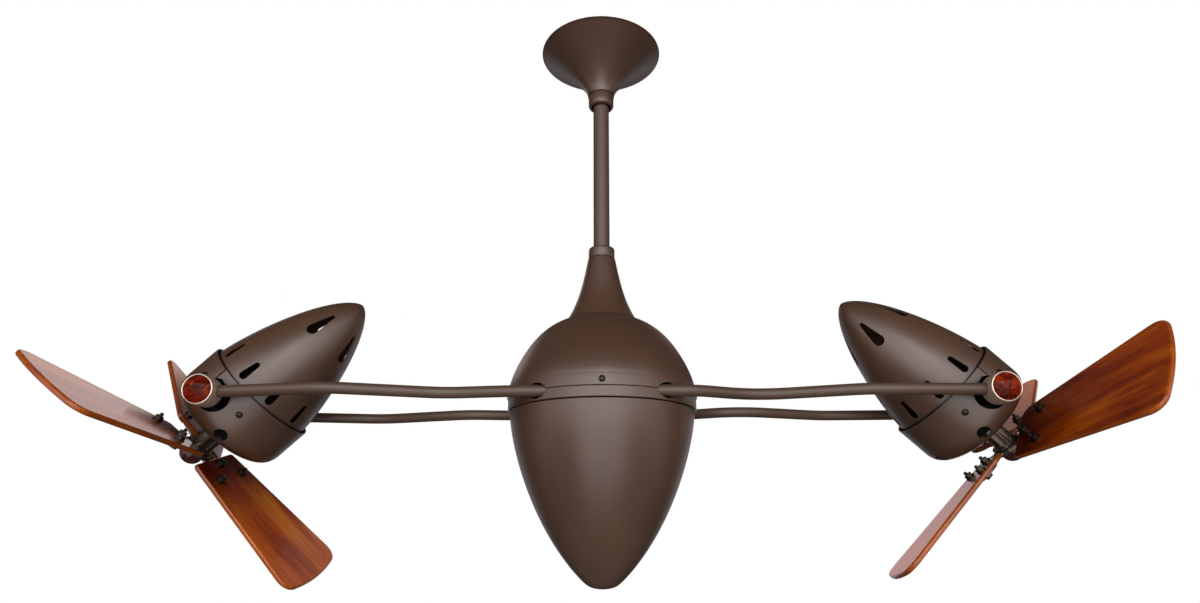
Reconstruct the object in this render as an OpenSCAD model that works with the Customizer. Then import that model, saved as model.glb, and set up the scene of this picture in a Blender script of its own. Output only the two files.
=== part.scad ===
// Twin head ceiling fan: two tilting fan heads on four bent arms that turn about a downrod.
// Millimetres, +Z up. The origin is the centre of the hanger bracket's ceiling face.
// The left head lies at negative X, the front arms at negative Y.

/* [Hanger bracket] */
// Length of the bracket's plate
plate_len = 100; // [96:1:110]
// Width of the bracket's plate
plate_w = 36; // [34:1:44]
// Thickness of the bracket's plate and straps
plate_t = 2.5; // [2:0.1:3]
// Diameter of the wire hole in the plate
wire_hole_d = 28; // [24:1:34]
// Distance between the two box screw slots
slot_pitch = 80; // [78:0.5:86]
// Width of a box screw slot
slot_w = 4.8; // [4.2:0.1:5.5]
// Length of a box screw slot
slot_len = 14; // [8:0.5:16]
// Width of the two straps
strap_w = 18; // [12:1:20]
// Distance from the axis to the inner face of a strap
strap_in = 21; // [20.5:0.1:21.5]
// Height of the seat ring under the ball
seat_h = 4; // [3:0.5:5]
// Diameter of the hang ball
ball_d = 36; // [34:0.5:37]
// How far the ball's centre lies below the top of the rod
ball_drop = 19; // [18:0.5:20]

/* [Canopy] */
// Diameter of the canopy's rim
canopy_d = 146; // [136:1:160]
// Height of the canopy
canopy_h = 57; // [55:1:66]
// Diameter of the canopy at its foot
canopy_foot_d = 32.4; // [31.6:0.2:38]
// Flare of the canopy's outline, 1 is a straight cone
canopy_flare = 1.35; // [1.2:0.05:1.45]
// Sheet thickness of the canopy
canopy_t = 1.2; // [0.8:0.1:1.6]
// Diameter of the collar that holds the canopy up
collar_d = 30.6; // [29:0.2:32]
// Height of that collar
collar_h = 16; // [14:0.5:20]

/* [Downrod and coupling] */
// Outer diameter of the downrod
rod_d = 19.05; // [18:0.05:20]
// Wall of the downrod
rod_wall = 2; // [1.5:0.1:3]
// Length of the downrod
rod_len = 304.8; // [200:0.1:900]
// Distance from the ceiling to the top of the rod
rod_top = 8; // [7:0.5:9]
// Diameter of the coupling
coupling_d = 30; // [27:0.5:32]
// How far the rod enters the coupling
rod_grip = 24.8; // [20:0.1:32]
// How far the spindle enters the coupling
spindle_grip = 25; // [20:0.5:28]
// Web between the rod and the spindle
coupling_web = 2.2; // [1.5:0.1:4]
// Diameter of the cross pins
pin_d = 5; // [4:0.5:6]
// Length of the pin in the hang ball
ball_pin_len = 32; // [28:1:34]

/* [Neck] */
// Diameter of the collar above the neck cover
neck_collar_d = 30.4; // [28:0.2:32]
// Height of that collar
neck_collar_h = 13.1; // [11:0.1:16]
// Diameter of the neck cover at its top
neck_top_d = 31.8; // [31:0.2:36]
// Diameter of the neck cover at its foot
neck_foot_d = 72.4; // [66:0.2:80]
// Height of the neck cover above the coupling
neck_above = 17; // [14:0.5:22]
// Sheet thickness of the neck cover
neck_t = 1.5; // [1:0.1:2]

/* [Centre body] */
// Diameter of the belt and of the dome's skirt
belt_d = 210; // [206:1:230]
// Height of the belt ring
belt_h = 11; // [10:0.5:14]
// Height of the dark groove under the belt ring
groove_h = 1; // [0.6:0.1:1.8]
// Height of the dome above its skirt
dome_h = 98; // [95:1:102]
// Height of the dome's straight skirt
skirt_h = 13; // [12:0.5:16]
// Step in radius between the dome and its skirt
skirt_step = 1; // [0.6:0.1:1.4]
// Height of the pointed bowl
bowl_h = 189; // [150:1:230]
// Wall of the dome and of the bowl
shell_t = 1.6; // [1.2:0.1:2]
// Distance from the top of the spindle down to the arms
arm_drop = 128.4; // [126:0.2:132]
// Diameter of the hole through which an arm leaves the body
arm_hole_d = 17; // [15:0.5:18]
// Diameter of the dome's opening round the spindle
dome_hole_d = 60; // [50:1:64]

/* [Spindle and carrier] */
// Outer diameter of the spindle
spindle_d = 20; // [19:0.5:21]
// Bore of the spindle for the wires
spindle_bore_d = 12; // [10:0.5:14]
// Outer diameter of the two ball bearings
bearing_d = 42; // [41:0.5:44]
// Width of a bearing
bearing_w = 12; // [10:0.5:13]
// Distance between the two bearings
bearing_gap = 20; // [16:0.5:24]
// Balls in a bearing
balls = 9; // [7:1:10]
// Wall of the carrier's hub
hub_wall = 6; // [4:0.5:8]
// Thickness of the carrier's disc
disc_t = 4; // [3.6:0.1:5]
// Diameter of the slip ring
slip_d = 32; // [28:1:36]
// Height of the slip ring
slip_h = 20; // [16:1:26]

/* [Arms] */
// Outer diameter of an arm's tube
arm_d = 12.2; // [11:0.1:13]
// Wall of an arm's tube
arm_wall = 1.5; // [1:0.1:2]
// Distance from the middle plane to an arm where it leaves the body
arm_y = 80; // [76:0.5:82]
// Distance from the axis to the inner end of an arm
arm_start = 12; // [8:0.5:18]
// Radius of the bends
bend_r = 90; // [50:1:95]
// Distance from the axis to the tilt axes of the heads
pivot_x = 403; // [390:1:480]
// End of the left arms' straight run
left_straight = 85; // [80:1:92]
// Place of the left arms' inward bend
left_dip_x = 163; // [155:1:170]
// Its distance from the middle plane
left_dip_y = 70; // [66:1:76]
// Place of the left arms' outward bend
left_bulge_x = 274; // [265:1:285]
// Its distance from the middle plane
left_bulge_y = 102; // [92:1:104]
// End of the right arms' straight run
right_straight = 95; // [90:1:98]
// Place of the right arms' inward bend
right_dip_x = 162; // [158:1:170]
// Its distance from the middle plane
right_dip_y = 52; // [50:1:62]
// Place of the right arms' outward bend
right_bulge_x = 269; // [262:1:280]
// Its distance from the middle plane
right_bulge_y = 86; // [80:1:92]
// Distance from the middle plane to an arm's end in its socket
arm_end_y = 82; // [81.6:0.1:83]

/* [End sockets] */
// Diameter of a socket barrel
socket_d = 31; // [29:0.2:33]
// Length of a socket barrel
socket_len = 19.8; // [19:0.1:20.4]
// Distance from the middle plane to a barrel's outer face
socket_out = 95; // [94.5:0.1:96]
// Height of a cap's dome
cap_h = 5; // [3:0.5:7]
// Width of the pale bezel ring
bezel_w = 1.3; // [0.8:0.1:2]
// Diameter of the pivot bolts
bolt_d = 8; // [6:0.5:9]

/* [Heads] */
// Tilt of the heads above the level, tips up and inward
tilt = 43.6; // [-90:0.1:90]
// Distance from the tilt axis to the seam of the cowls, along the head
seam_ahead = 23; // [21:0.5:25]
// Distance of the tilt axis above the head's own axis
pivot_up = 2.5; // [0:0.1:4]
// Diameter of the rear cowl at the seam
rear_d = 123; // [118:0.5:126]
// Length of the rear cowl
rear_len = 149; // [140:1:170]
// Diameter of the front cowl at its rim
front_d = 130.6; // [129:0.2:133]
// Length of the front cowl's straight part
front_straight = 30; // [26:0.5:34]
// Depth of the front cowl's rounded end
front_round = 36; // [33:0.5:40]
// How far the front cowl's rim covers the seam
front_lap = 2.5; // [1:0.1:4]
// Diameter of the front cowl's central opening
front_hole_d = 40; // [32:1:50]
// Wall of the cowls
cowl_t = 1.6; // [1.2:0.1:2]
// Diameter of the cowl's hole round a pivot
pivot_hole_d = 36; // [32:0.5:38]
// Width of the slot from that hole to the rim
tongue_slot_w = 28; // [24:0.5:30]
// Gap round the tongue that fills the slot
tongue_gap = 0.5; // [0.3:0.1:1]
// Angle between a pivot and the cowl screws beside it
cowl_screw_angle = 27; // [25:1:32]
// Distance from the seam to the cowl screws
cowl_screw_s = 18.5; // [16:0.5:21]
// Round holes in the front cowl
front_vents = 6; // [4:1:8]
// Their diameter
front_vent_d = 13; // [9:0.5:14]
// Their distance from the seam
front_vent_s = 47; // [45:0.5:50]
// Small teardrop vents in the rear cowl
small_vents = 10; // [6:1:12]
// Large teardrop vents in the rear cowl
large_vents = 5; // [3:1:6]
// How far the right rear cowl is turned about its axis
right_cowl_turn = 6; // [0:0.5:12]

/* [Motors] */
// Diameter of a motor case
motor_d = 96; // [88:1:100]
// Wall of a motor case
motor_wall = 1.8; // [1.4:0.1:2.6]
// Distance from the seam to the motor's rear face
motor_rear = 8; // [4:0.5:9]
// Length of a motor with its cover
motor_len = 44; // [42:0.5:45]
// Diameter of a trunnion
trunnion_d = 22; // [18:0.5:23]
// Diameter of the rotor
rotor_d = 48; // [40:1:54]
// Diameter of the motor shaft
shaft_d = 10; // [8:0.5:11]

/* [Blades] */
// Distance from the seam to the blades' inner faces at the axis
blade_s = 83.4; // [82:0.2:86]
// Distance from the axis to a blade's root
blade_root = 21; // [20:0.5:24]
// Distance from the axis to the corners of a blade's tip
blade_tip = 187; // [150:1:230]
// Bulge of the tip's edge
tip_bulge = 8; // [0:0.5:12]
// Width of a blade at its root
root_w = 71; // [64:1:72]
// Width of a blade at its tip
tip_w = 125; // [90:1:140]
// Rounding of a blade's tip corners
tip_corner = 16; // [6:1:24]
// Thickness of a blade
blade_t = 5.6; // [5.4:0.2:9]
// Pitch of the blades
pitch = 11.8; // [8:0.2:14]
// Angle by which the tips lean away from the head
cone = 1.9; // [0:0.1:4]
// Turn of the left blades about their axis
left_phase = 40.6; // [0:0.1:120]
// Turn of the right blades about their axis
right_phase = 25.6; // [0:0.1:120]
// Rounding of the left blades' leading root corner
left_root_r = 4; // [2:0.5:20]
// Rounding of the right blades' leading root corner
right_root_r = 17; // [2:0.5:20]
// Diameter of the hub over its lobes
hub_d = 25; // [22:0.5:28]
// Diameter of the hub's flange
flange_d = 30; // [26:0.5:34]
// Thickness of the blade irons
iron_t = 2.5; // [2:0.1:3]
// Distance from the axis to the inner stud of a blade
stud_in = 30; // [28:0.5:32]
// Distance from the axis to the outer studs
stud_out = 48; // [44:0.5:54]
// Distance between the two outer studs
stud_pitch = 44; // [36:1:48]
// Diameter of the studs
stud_d = 4; // [3:0.1:4.6]
// Diameter of the nose
nose_d = 25; // [22:0.5:28]
// Height of the nose
nose_h = 16; // [12:0.5:20]

/* [Hidden] */

// Finishes
bronze = [0.28, 0.22, 0.18];
dark_metal = [0.17, 0.15, 0.13];
steel = [0.66, 0.66, 0.68];
zinc = [0.55, 0.55, 0.52];
casting = [0.46, 0.47, 0.48];
copper = [0.60, 0.36, 0.22];
plastic = [0.80, 0.78, 0.70];
wood = [0.45, 0.14, 0.04];
burl = [0.40, 0.09, 0.04];
bezel_metal = [0.78, 0.72, 0.60];

// Fits: radial play of a sliding or turning fit, face play, overlap of a cut past a face
fit = 0.05;
play = 0.1;
loose = 0.3;
cut = 1;
LEFT = -1;
RIGHT = 1;
$fn = 64;

// Downrod, coupling and neck, from the ceiling down
rod_r = rod_d / 2;
rod_top_z = -rod_top;
rod_bottom_z = rod_top_z - rod_len;
ball_r = ball_d / 2;
ball_z = rod_top_z - ball_drop;
coupling_z = rod_bottom_z + rod_grip;
spindle_top_z = rod_bottom_z - coupling_web;
spindle_r = spindle_d / 2;
neck_z = coupling_z + neck_above;
neck_step = 0.5;
rod_pin_z = rod_bottom_z + rod_grip / 2;
spindle_pin_z = spindle_top_z - spindle_grip / 2;
canopy_screw_drop = 3;
neck_screw_rise = 6.5;
canopy_screw_d = 3;
neck_screw_d = 4;
ring_wall = 5.5;

// Centre body
arm_z = spindle_top_z - arm_drop;
belt_r = belt_d / 2;
belt_in = belt_r - 4;
seam_gap = 0.5;
belt_top_z = arm_z + 0.9;
belt_bottom_z = belt_top_z - belt_h;
skirt_bottom_z = belt_top_z + seam_gap;
skirt_top_z = skirt_bottom_z + skirt_h;
dome_r = belt_r - skirt_step;
bowl_top_z = belt_bottom_z - groove_h;
disc_top_z = belt_bottom_z + (disc_t - groove_h) / 2;
disc_bottom_z = disc_top_z - disc_t;
belt_tab_w = 14;
belt_tab_h = 12;
belt_screw_z = skirt_bottom_z + 6;
belt_screw_d = 3.4;
bowl_screw_d = 4;
bowl_boss_r = 5;
bowl_boss_h = 14;
bowl_screw_r = belt_in - 7;
bowl_screw_angles = [30, 150, 210, 330];

// Spindle, bearings, slip ring
bearing_r = bearing_d / 2;
bearing_recess = 4;
hub_top_z = disc_top_z + bearing_gap + bearing_w + bearing_recess;
upper_bearing_z = hub_top_z - bearing_recess;
lower_bearing_z = upper_bearing_z - bearing_w - bearing_gap;
hub_bottom_z = lower_bearing_z - bearing_w - bearing_recess;
ring_t = 3.5;
race_r = (spindle_r + bearing_r) / 2;
ball_bearing_r = (bearing_r - spindle_r) / 2 - ring_t + 1.1;
nut_af = spindle_d + 6;
nut_h = 10;
nut_bottom_z = lower_bearing_z - bearing_w - nut_h;
slip_top_z = nut_bottom_z - 4;
slip_bottom_z = slip_top_z - slip_h;
slip_r = slip_d / 2;
spindle_bottom_z = slip_bottom_z - 4;

// Arms and sockets
arm_r = arm_d / 2;
boss_r = arm_r + 4;
boss_half = 42;
sleeve_t = 0.02;
sleeve_half = 0.5;
joint_gap = 0.1;
socket_r = socket_d / 2;
socket_in = socket_out - socket_len;
bolt_r = bolt_d / 2;
washer_t = 1.2;
washer_r = bolt_r + 5;
arm_stop = washer_r + 0.5;
cap_recess_r = socket_r - 2.5;
cap_recess = 6;
bolt_head_h = 4;
bolt_head_r = bolt_r + 2.5;
bezel_h = 1.8;
left_route = [
    [arm_start, arm_y],
    [left_straight, arm_y],
    [left_dip_x, left_dip_y],
    [left_bulge_x, left_bulge_y],
    [pivot_x - arm_stop, arm_end_y]
];
right_route = [
    [arm_start, arm_y],
    [right_straight, arm_y],
    [right_dip_x, right_dip_y],
    [right_bulge_x, right_bulge_y],
    [pivot_x - arm_stop, arm_end_y]
];

// Heads: s runs along the head's own axis, from the seam toward the tip
rear_r = rear_d / 2;
front_r = front_d / 2;
front_in = front_r - cowl_t;
spigot_len = 8;
tab_len = 25;
tab_half_angle = 6;
front_taper = 0.3;
tab_r = front_in - front_taper - play;
pivot_s = -seam_ahead;
trunnion_face = socket_in - washer_t - play;
trunnion_r = trunnion_d / 2;
bolt_tip = motor_d / 2 + 6;
motor_r = motor_d / 2;
motor_front_s = -motor_rear - motor_len;
cover_t = 2.5;
stator_s = -motor_rear - 12;
stator_len = 24;
rotor_len = 20;
rotor_r = rotor_d / 2;
shaft_r = shaft_d / 2;
bearing_boss_r = shaft_r + 5;
lug_r = 5;
lug_end = rear_r - cowl_t - loose;
cowl_screw_r = 1.6;
screw_head_r = 3.6;
screw_head_h = 2.2;
cowl_screw_angles = [
    cowl_screw_angle, -cowl_screw_angle, 180 + cowl_screw_angle, 180 - cowl_screw_angle
];
small_vent = [10.5, 4.5, 28.5, 2.6];
large_vent = [93, 6, 117, 2.2];

// Blades: hub_front_s is the hub's inner end, iron_s the plane where the irons' disc starts
hub_top_s = motor_front_s - 6;
flange_s = -blade_s - 1;
flange_t = 3;
iron_s = -blade_s - blade_t + 1;
iron_disc_t = 5;
iron_disc_r = 17;
nose_s = iron_s - iron_disc_t;
washer_h = 1.2;
stud_nut_h = 3.2;
stud_nut_af = 8;
stud_over = 8.4;
bolt_cap_h = 2.6;
stud_places = [[stud_in, 0], [stud_out, stud_pitch / 2], [stud_out, -stud_pitch / 2]];

// Outlines
function canopy_at(z) = canopy_foot_d / 2
    + (canopy_d - canopy_foot_d) / 2 * pow((canopy_h + z) / canopy_h, canopy_flare);
function dome_z(r) = skirt_top_z + dome_h * pow(1 - pow(r / dome_r, 2), 1 / 1.38);
function dome_at(v, r) = r * sqrt(1 - pow(v, 1.38));
function bullet_at(u, r) = r * pow(1 - pow(u, 1.35), 0.62);
function cup_at(u, r) = r * pow(1 - pow(u, 3.4), 0.55);
function cup_u(r, r_big) = pow(1 - pow(r / r_big, 1 / 0.55), 1 / 3.4);
function toward_tip(i, n) = 1 - pow(1 - i / n, 2);
neck_foot_z = dome_z(neck_foot_d / 2) + 0.8;
neck_inner_foot_z = dome_z(neck_foot_d / 2 - neck_t) + 0.8;
neck_h = neck_z - neck_foot_z;
function neck_at(z) = let (t = (neck_z - z) / neck_h, flare = (neck_foot_d - neck_top_d) / 2)
    neck_top_d / 2 + flare * (0.6 * t + 0.4 * pow(t, 3.3));

// ---- Helpers ----

// A straight tube or ring between two heights
module ring(r_out, r_in, z_low, z_high) {
    translate([0, 0, z_low])
        difference() {
            cylinder(r = r_out, h = z_high - z_low);
            translate([0, 0, -cut]) cylinder(r = r_in, h = z_high - z_low + 2 * cut);
        }
}

// A round pin that points outward along a radius at an angle
module radial_pin(angle, r, from, to, z, fn = 32) {
    rotate([0, 0, angle])
        translate([from, 0, z])
            rotate([0, 90, 0])
                cylinder(r = r, h = to - from, $fn = fn);
}

// A low domed screw head on a stalk, pointing outward along a radius
module round_screw(angle, r, from, seat, z) {
    radial_pin(angle, r, from, seat + screw_head_h / 2, z);
    rotate([0, 0, angle])
        translate([seat, 0, z])
            rotate([0, 90, 0])
                rotate_extrude($fn = 32)
                    polygon([
                        [0, 0], [screw_head_r, 0], [screw_head_r, 0.5],
                        [screw_head_r * 0.85, 1.3], [screw_head_r * 0.5, 2], [0, screw_head_h]
                    ]);
}

// A tube along a route in a level plane, with round bends between its straight runs.
// A thin sleeve joins each run to the bend after it.
module bent_tube(route, r_bend, r_out, r_in) {
    last = len(route) - 1;
    angles = [for (i = [0 : last - 1])
        atan2(route[i + 1].y - route[i].y, route[i + 1].x - route[i].x)];
    turns = [for (i = [0 : last]) (i == 0 || i == last) ? 0 : angles[i] - angles[i - 1]];
    cuts = [for (t = turns) r_bend * tan(abs(t) / 2)];
    for (i = [0 : last - 1]) {
        run = norm(route[i + 1] - route[i]) - cuts[i] - cuts[i + 1];
        from = i == 0 ? 0 : joint_gap;
        to = run - (i == last - 1 ? 0 : joint_gap);
        translate([route[i].x, route[i].y, 0])
            rotate([0, 0, angles[i]])
                translate([cuts[i], 0, 0])
                    rotate([0, 90, 0]) {
                        ring(r_out, r_in, from, to);
                        if (i > 0) ring(r_out + sleeve_t, r_in - sleeve_t, -sleeve_half, sleeve_half);
                        if (i < last - 1)
                            ring(r_out + sleeve_t, r_in - sleeve_t, run - sleeve_half, run + sleeve_half);
                    }
    }
    for (i = [1 : last - 1]) {
        side = sign(turns[i]);
        start = route[i] - cuts[i] * [cos(angles[i - 1]), sin(angles[i - 1])];
        centre = start + side * r_bend * [-sin(angles[i - 1]), cos(angles[i - 1])];
        first = angles[i - 1] - 90 * side - (side < 0 ? abs(turns[i]) : 0);
        translate([centre.x, centre.y, 0])
            rotate([0, 0, first])
                rotate_extrude(angle = abs(turns[i]), $fn = 96)
                    translate([r_bend, 0])
                        difference() {
                            circle(r = r_out, $fn = 32);
                            circle(r = r_in, $fn = 32);
                        }
    }
}

// Puts a head's own frame in its place: s along Z, the tilt axis along X
module place_head(side) {
    rotate([0, 0, side == LEFT ? 0 : 180])
        translate([-pivot_x, 0, arm_z])
            rotate([0, -tilt, 0])
                translate([seam_ahead, 0, -pivot_up])
                    rotate([90, 0, 90])
                        children();
}

// Puts a blade's own frame in its place: X out along the blade, Z toward the head
module place_blade(side, index) {
    place_head(side)
        translate([0, 0, -blade_s])
            rotate([0, 0, (side == LEFT ? left_phase : right_phase) + 120 * index])
                rotate([0, cone, 0])
                    rotate([pitch, 0, 0])
                        children();
}

// A teardrop cut outward through a cowl; vent holds the place and radius of each round end
module teardrop(angle, vent, reach) {
    lean = asin((vent[1] - vent[3]) / (vent[2] - vent[0]));
    steps = 6;
    fat = [for (i = [0 : steps]) let (a = 90 + lean + i * (180 - 2 * lean) / steps)
        [vent[0] + vent[1] * cos(a), vent[1] * sin(a)]];
    narrow = [for (i = [0 : steps]) let (a = 270 - lean + i * (180 + 2 * lean) / steps)
        [vent[2] + vent[3] * cos(a), vent[3] * sin(a)]];
    rotate([0, 0, angle])
        rotate([0, 90, 0])
            linear_extrude(reach)
                mirror([1, 0]) polygon(concat(fat, narrow));
}

// ---- Hanger, canopy, downrod ----

module hanger_bracket() {
    seat_z = ball_z - 10;
    seat_r = sqrt(pow(ball_r, 2) - pow(ball_z - seat_z, 2));
    lean = (ball_z - seat_z) / seat_r;
    strap_out = strap_in + plate_t;
    color(steel) {
        difference() {
            translate([-plate_len / 2, -plate_w / 2, -plate_t]) cube([plate_len, plate_w, plate_t]);
            translate([0, 0, -plate_t - cut]) cylinder(d = wire_hole_d, h = plate_t + 2 * cut);
            for (side = [-1, 1])
                translate([side * slot_pitch / 2, 0, -plate_t - cut])
                    linear_extrude(plate_t + 2 * cut) slot_outline();
        }
        difference() {
            union() {
                for (side = [-1, 1])
                    translate([side < 0 ? -strap_out : strap_in, -strap_w / 2, seat_z])
                        cube([plate_t, strap_w, -plate_t - seat_z]);
                ring(strap_out, seat_r - 4, seat_z - seat_h / 2, seat_z + seat_h / 2);
            }
            translate([0, 0, seat_z - seat_h / 2 - 0.01])
                cylinder(
                    r1 = seat_r - lean * seat_h / 2 + fit,
                    r2 = seat_r + lean * seat_h / 2 + fit,
                    h = seat_h + 0.02
                );
        }
    }
}

module slot_outline() {
    flat = slot_len - slot_w;
    for (side = [-1, 1])
        translate([side * flat / 2, 0]) circle(d = slot_w, $fn = 32);
    square([flat, slot_w], center = true);
}

module hang_ball() {
    color(dark_metal)
        difference() {
            translate([0, 0, ball_z]) sphere(r = ball_r);
            translate([0, 0, ball_z - ball_r - cut]) cylinder(r = rod_r + fit, h = ball_d + 2 * cut);
            radial_pin(0, pin_d / 2 + fit, -ball_r - cut, ball_r + cut, ball_z);
        }
}

module canopy() {
    n = 16;
    foot_hole = rod_r + 0.7;
    outer = [for (i = [0 : n]) let (z = -canopy_h * (1 - i / n)) [canopy_at(z), z]];
    inner = [for (i = [0 : n]) let (z = -(canopy_h - canopy_t) * i / n) [canopy_at(z) - canopy_t, z]];
    color(bronze)
        rotate_extrude($fn = 96)
            polygon(concat(
                outer,
                inner,
                [[foot_hole, -canopy_h + canopy_t], [foot_hole, -canopy_h]]
            ));
}

module canopy_collar() {
    r = collar_d / 2;
    color(bronze)
        difference() {
            translate([0, 0, -canopy_h])
                rotate_extrude()
                    polygon([
                        [rod_r + fit, 0], [r - 0.6, 0], [r - 0.6, -0.6], [r, -0.6],
                        [r, 3 - collar_h], [r - 0.5, 1.7 - collar_h], [r - 1.5, 0.6 - collar_h],
                        [r - 3, -collar_h], [r - 3.6, -collar_h], [r - 3.6, -5], [rod_r + fit, -5]
                    ]);
            radial_pin(90, canopy_screw_d / 2 + fit, 0, r + cut, -canopy_h - canopy_screw_drop);
        }
}

module downrod() {
    color(bronze)
        difference() {
            ring(rod_r, rod_r - rod_wall, rod_bottom_z, rod_top_z);
            for (z = [ball_z, rod_pin_z]) radial_pin(0, pin_d / 2 + fit, -ball_r, ball_r, z);
        }
}

module cross_pins() {
    half = coupling_d / 2 - play;
    color(zinc) {
        radial_pin(0, pin_d / 2, -ball_pin_len / 2, ball_pin_len / 2, ball_z);
        for (z = [rod_pin_z, spindle_pin_z]) radial_pin(0, pin_d / 2, -half, half, z);
    }
}

module set_screws() {
    color(dark_metal) {
        radial_pin(90, canopy_screw_d / 2, rod_r + play, collar_d / 2 - 0.3, -canopy_h - canopy_screw_drop);
        radial_pin(90, neck_screw_d / 2, rod_r + play, neck_collar_d / 2 - 0.3, neck_z + neck_screw_rise);
    }
}

module neck_collar() {
    r = neck_collar_d / 2;
    color(bronze)
        difference() {
            translate([0, 0, neck_z])
                rotate_extrude()
                    polygon([
                        [rod_r + fit, 0], [r - 0.8, 0], [r - 0.8, neck_step], [r, neck_step],
                        [r, neck_collar_h - 1.8], [r - 0.4, neck_collar_h - 0.9],
                        [r - 1.2, neck_collar_h - 0.2], [r - 2, neck_collar_h], [rod_r + fit, neck_collar_h]
                    ]);
            radial_pin(90, neck_screw_d / 2 + fit, 0, r + cut, neck_z + neck_screw_rise);
        }
}

module neck_cover() {
    n = 16;
    top_hole = rod_r + 0.7;
    outer = [for (i = [0 : n]) let (z = neck_foot_z + neck_h * i / n) [neck_at(z), z]];
    inner = [for (i = [0 : n])
        let (z = neck_z - neck_t - (neck_z - neck_t - neck_inner_foot_z) * i / n)
        [neck_at(z) - neck_t, z]];
    color(bronze) {
        rotate_extrude($fn = 96)
            polygon(concat(outer, [[top_hole, neck_z], [top_hole, neck_z - neck_t]], inner));
        ring(neck_at(coupling_z + 1) - neck_t + 0.2, top_hole, coupling_z, coupling_z + 2);
    }
}

module coupling() {
    bottom = spindle_top_z - spindle_grip;
    color(casting)
        difference() {
            translate([0, 0, bottom]) cylinder(d = coupling_d, h = coupling_z - bottom);
            translate([0, 0, rod_bottom_z]) cylinder(r = rod_r + fit, h = rod_grip + cut);
            translate([0, 0, bottom - cut]) cylinder(r = spindle_r + fit, h = spindle_grip + cut);
            translate([0, 0, bottom]) cylinder(d = spindle_bore_d, h = coupling_z - bottom);
            for (z = [rod_pin_z, spindle_pin_z])
                radial_pin(0, pin_d / 2 + fit, -coupling_d, coupling_d, z);
        }
}

// ---- Spindle, bearings and slip ring ----

module spindle() {
    shoulder_h = 6;
    color(steel)
        difference() {
            union() {
                translate([0, 0, spindle_bottom_z])
                    cylinder(r = spindle_r, h = spindle_top_z - spindle_bottom_z);
                translate([0, 0, upper_bearing_z]) cylinder(r = spindle_r + 3, h = shoulder_h);
            }
            translate([0, 0, spindle_bottom_z - cut])
                cylinder(d = spindle_bore_d, h = spindle_top_z - spindle_bottom_z + 2 * cut);
            radial_pin(0, pin_d / 2 + fit, -coupling_d, coupling_d, spindle_pin_z);
        }
}

module race(z) {
    translate([0, 0, z - bearing_w / 2])
        rotate_extrude()
            translate([race_r, 0]) circle(r = ball_bearing_r + play, $fn = 32);
}

module bearing_inners() {
    color(steel) {
        for (z = [upper_bearing_z, lower_bearing_z])
            difference() {
                ring(spindle_r + ring_t, spindle_r + fit, z - bearing_w, z);
                race(z);
            }
        ring(spindle_r + 2.5, spindle_r + fit, lower_bearing_z, upper_bearing_z - bearing_w);
    }
}

module bearing_outers() {
    color(steel)
        for (z = [upper_bearing_z, lower_bearing_z]) {
            difference() {
                ring(bearing_r, bearing_r - ring_t, z - bearing_w, z);
                race(z);
            }
            for (i = [0 : balls - 1])
                rotate([0, 0, 360 * i / balls])
                    translate([race_r, 0, z - bearing_w / 2]) sphere(r = ball_bearing_r, $fn = 24);
        }
}

module spindle_nut() {
    color(zinc)
        difference() {
            translate([0, 0, nut_bottom_z]) cylinder(d = nut_af / cos(30), h = nut_h, $fn = 6);
            translate([0, 0, nut_bottom_z - cut]) cylinder(r = spindle_r + fit, h = nut_h + 2 * cut);
        }
}

module slip_ring() {
    grooves = 3;
    groove_w = slip_h / (2 * grooves + 1);
    color(copper)
        difference() {
            ring(slip_r, spindle_r + fit, slip_bottom_z, slip_top_z);
            for (i = [0 : grooves - 1])
                ring(slip_r + cut, slip_r - 1.5, slip_bottom_z + (2 * i + 1) * groove_w,
                    slip_bottom_z + (2 * i + 2) * groove_w);
        }
}

module brush_block() {
    hub_r = bearing_r + hub_wall;
    near = hub_r + 1;
    arm_h = hub_bottom_z - 2 - slip_bottom_z;
    color(plastic)
        difference() {
            union() {
                translate([near, -8, slip_bottom_z]) cube([10, 16, disc_bottom_z - slip_bottom_z]);
                translate([0, -6, slip_bottom_z]) cube([near + 1, 12, arm_h]);
            }
            translate([0, 0, slip_bottom_z - cut]) cylinder(r = slip_r + play, h = arm_h + 2 * cut);
            translate([0, 0, slip_top_z + cut]) cylinder(r = slip_r + 3, h = arm_h);
        }
}

// ---- Centre body ----

module arm_holes() {
    for (side = [-1, 1])
        translate([-belt_r - 10, side * arm_y, arm_z])
            rotate([0, 90, 0]) cylinder(d = arm_hole_d, h = 2 * belt_r + 20);
}

module dome() {
    n = 18;
    v_out = (dome_z(dome_hole_d / 2) - skirt_top_z) / dome_h;
    in_r = dome_r - shell_t;
    in_h = dome_h - shell_t;
    v_in = pow(1 - pow(dome_hole_d / 2 / in_r, 2), 1 / 1.38);
    outer = [for (i = [0 : n]) let (v = v_out * i / n) [dome_at(v, dome_r), skirt_top_z + dome_h * v]];
    inner = [for (i = [0 : n]) let (v = v_in * (1 - i / n)) [dome_at(v, in_r), skirt_top_z + in_h * v]];
    skirt = [[belt_r - shell_t, skirt_bottom_z], [belt_r, skirt_bottom_z], [belt_r, skirt_top_z]];
    color(bronze)
        difference() {
            rotate_extrude($fn = 120)
                polygon(concat(
                    skirt, outer, inner, [[belt_r - shell_t, skirt_top_z - skirt_step]]
                ));
            arm_holes();
            for (angle = [0 : 90 : 270])
                radial_pin(angle, belt_screw_d / 2 + play, belt_r - 10, belt_r + cut, belt_screw_z);
        }
}

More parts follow.
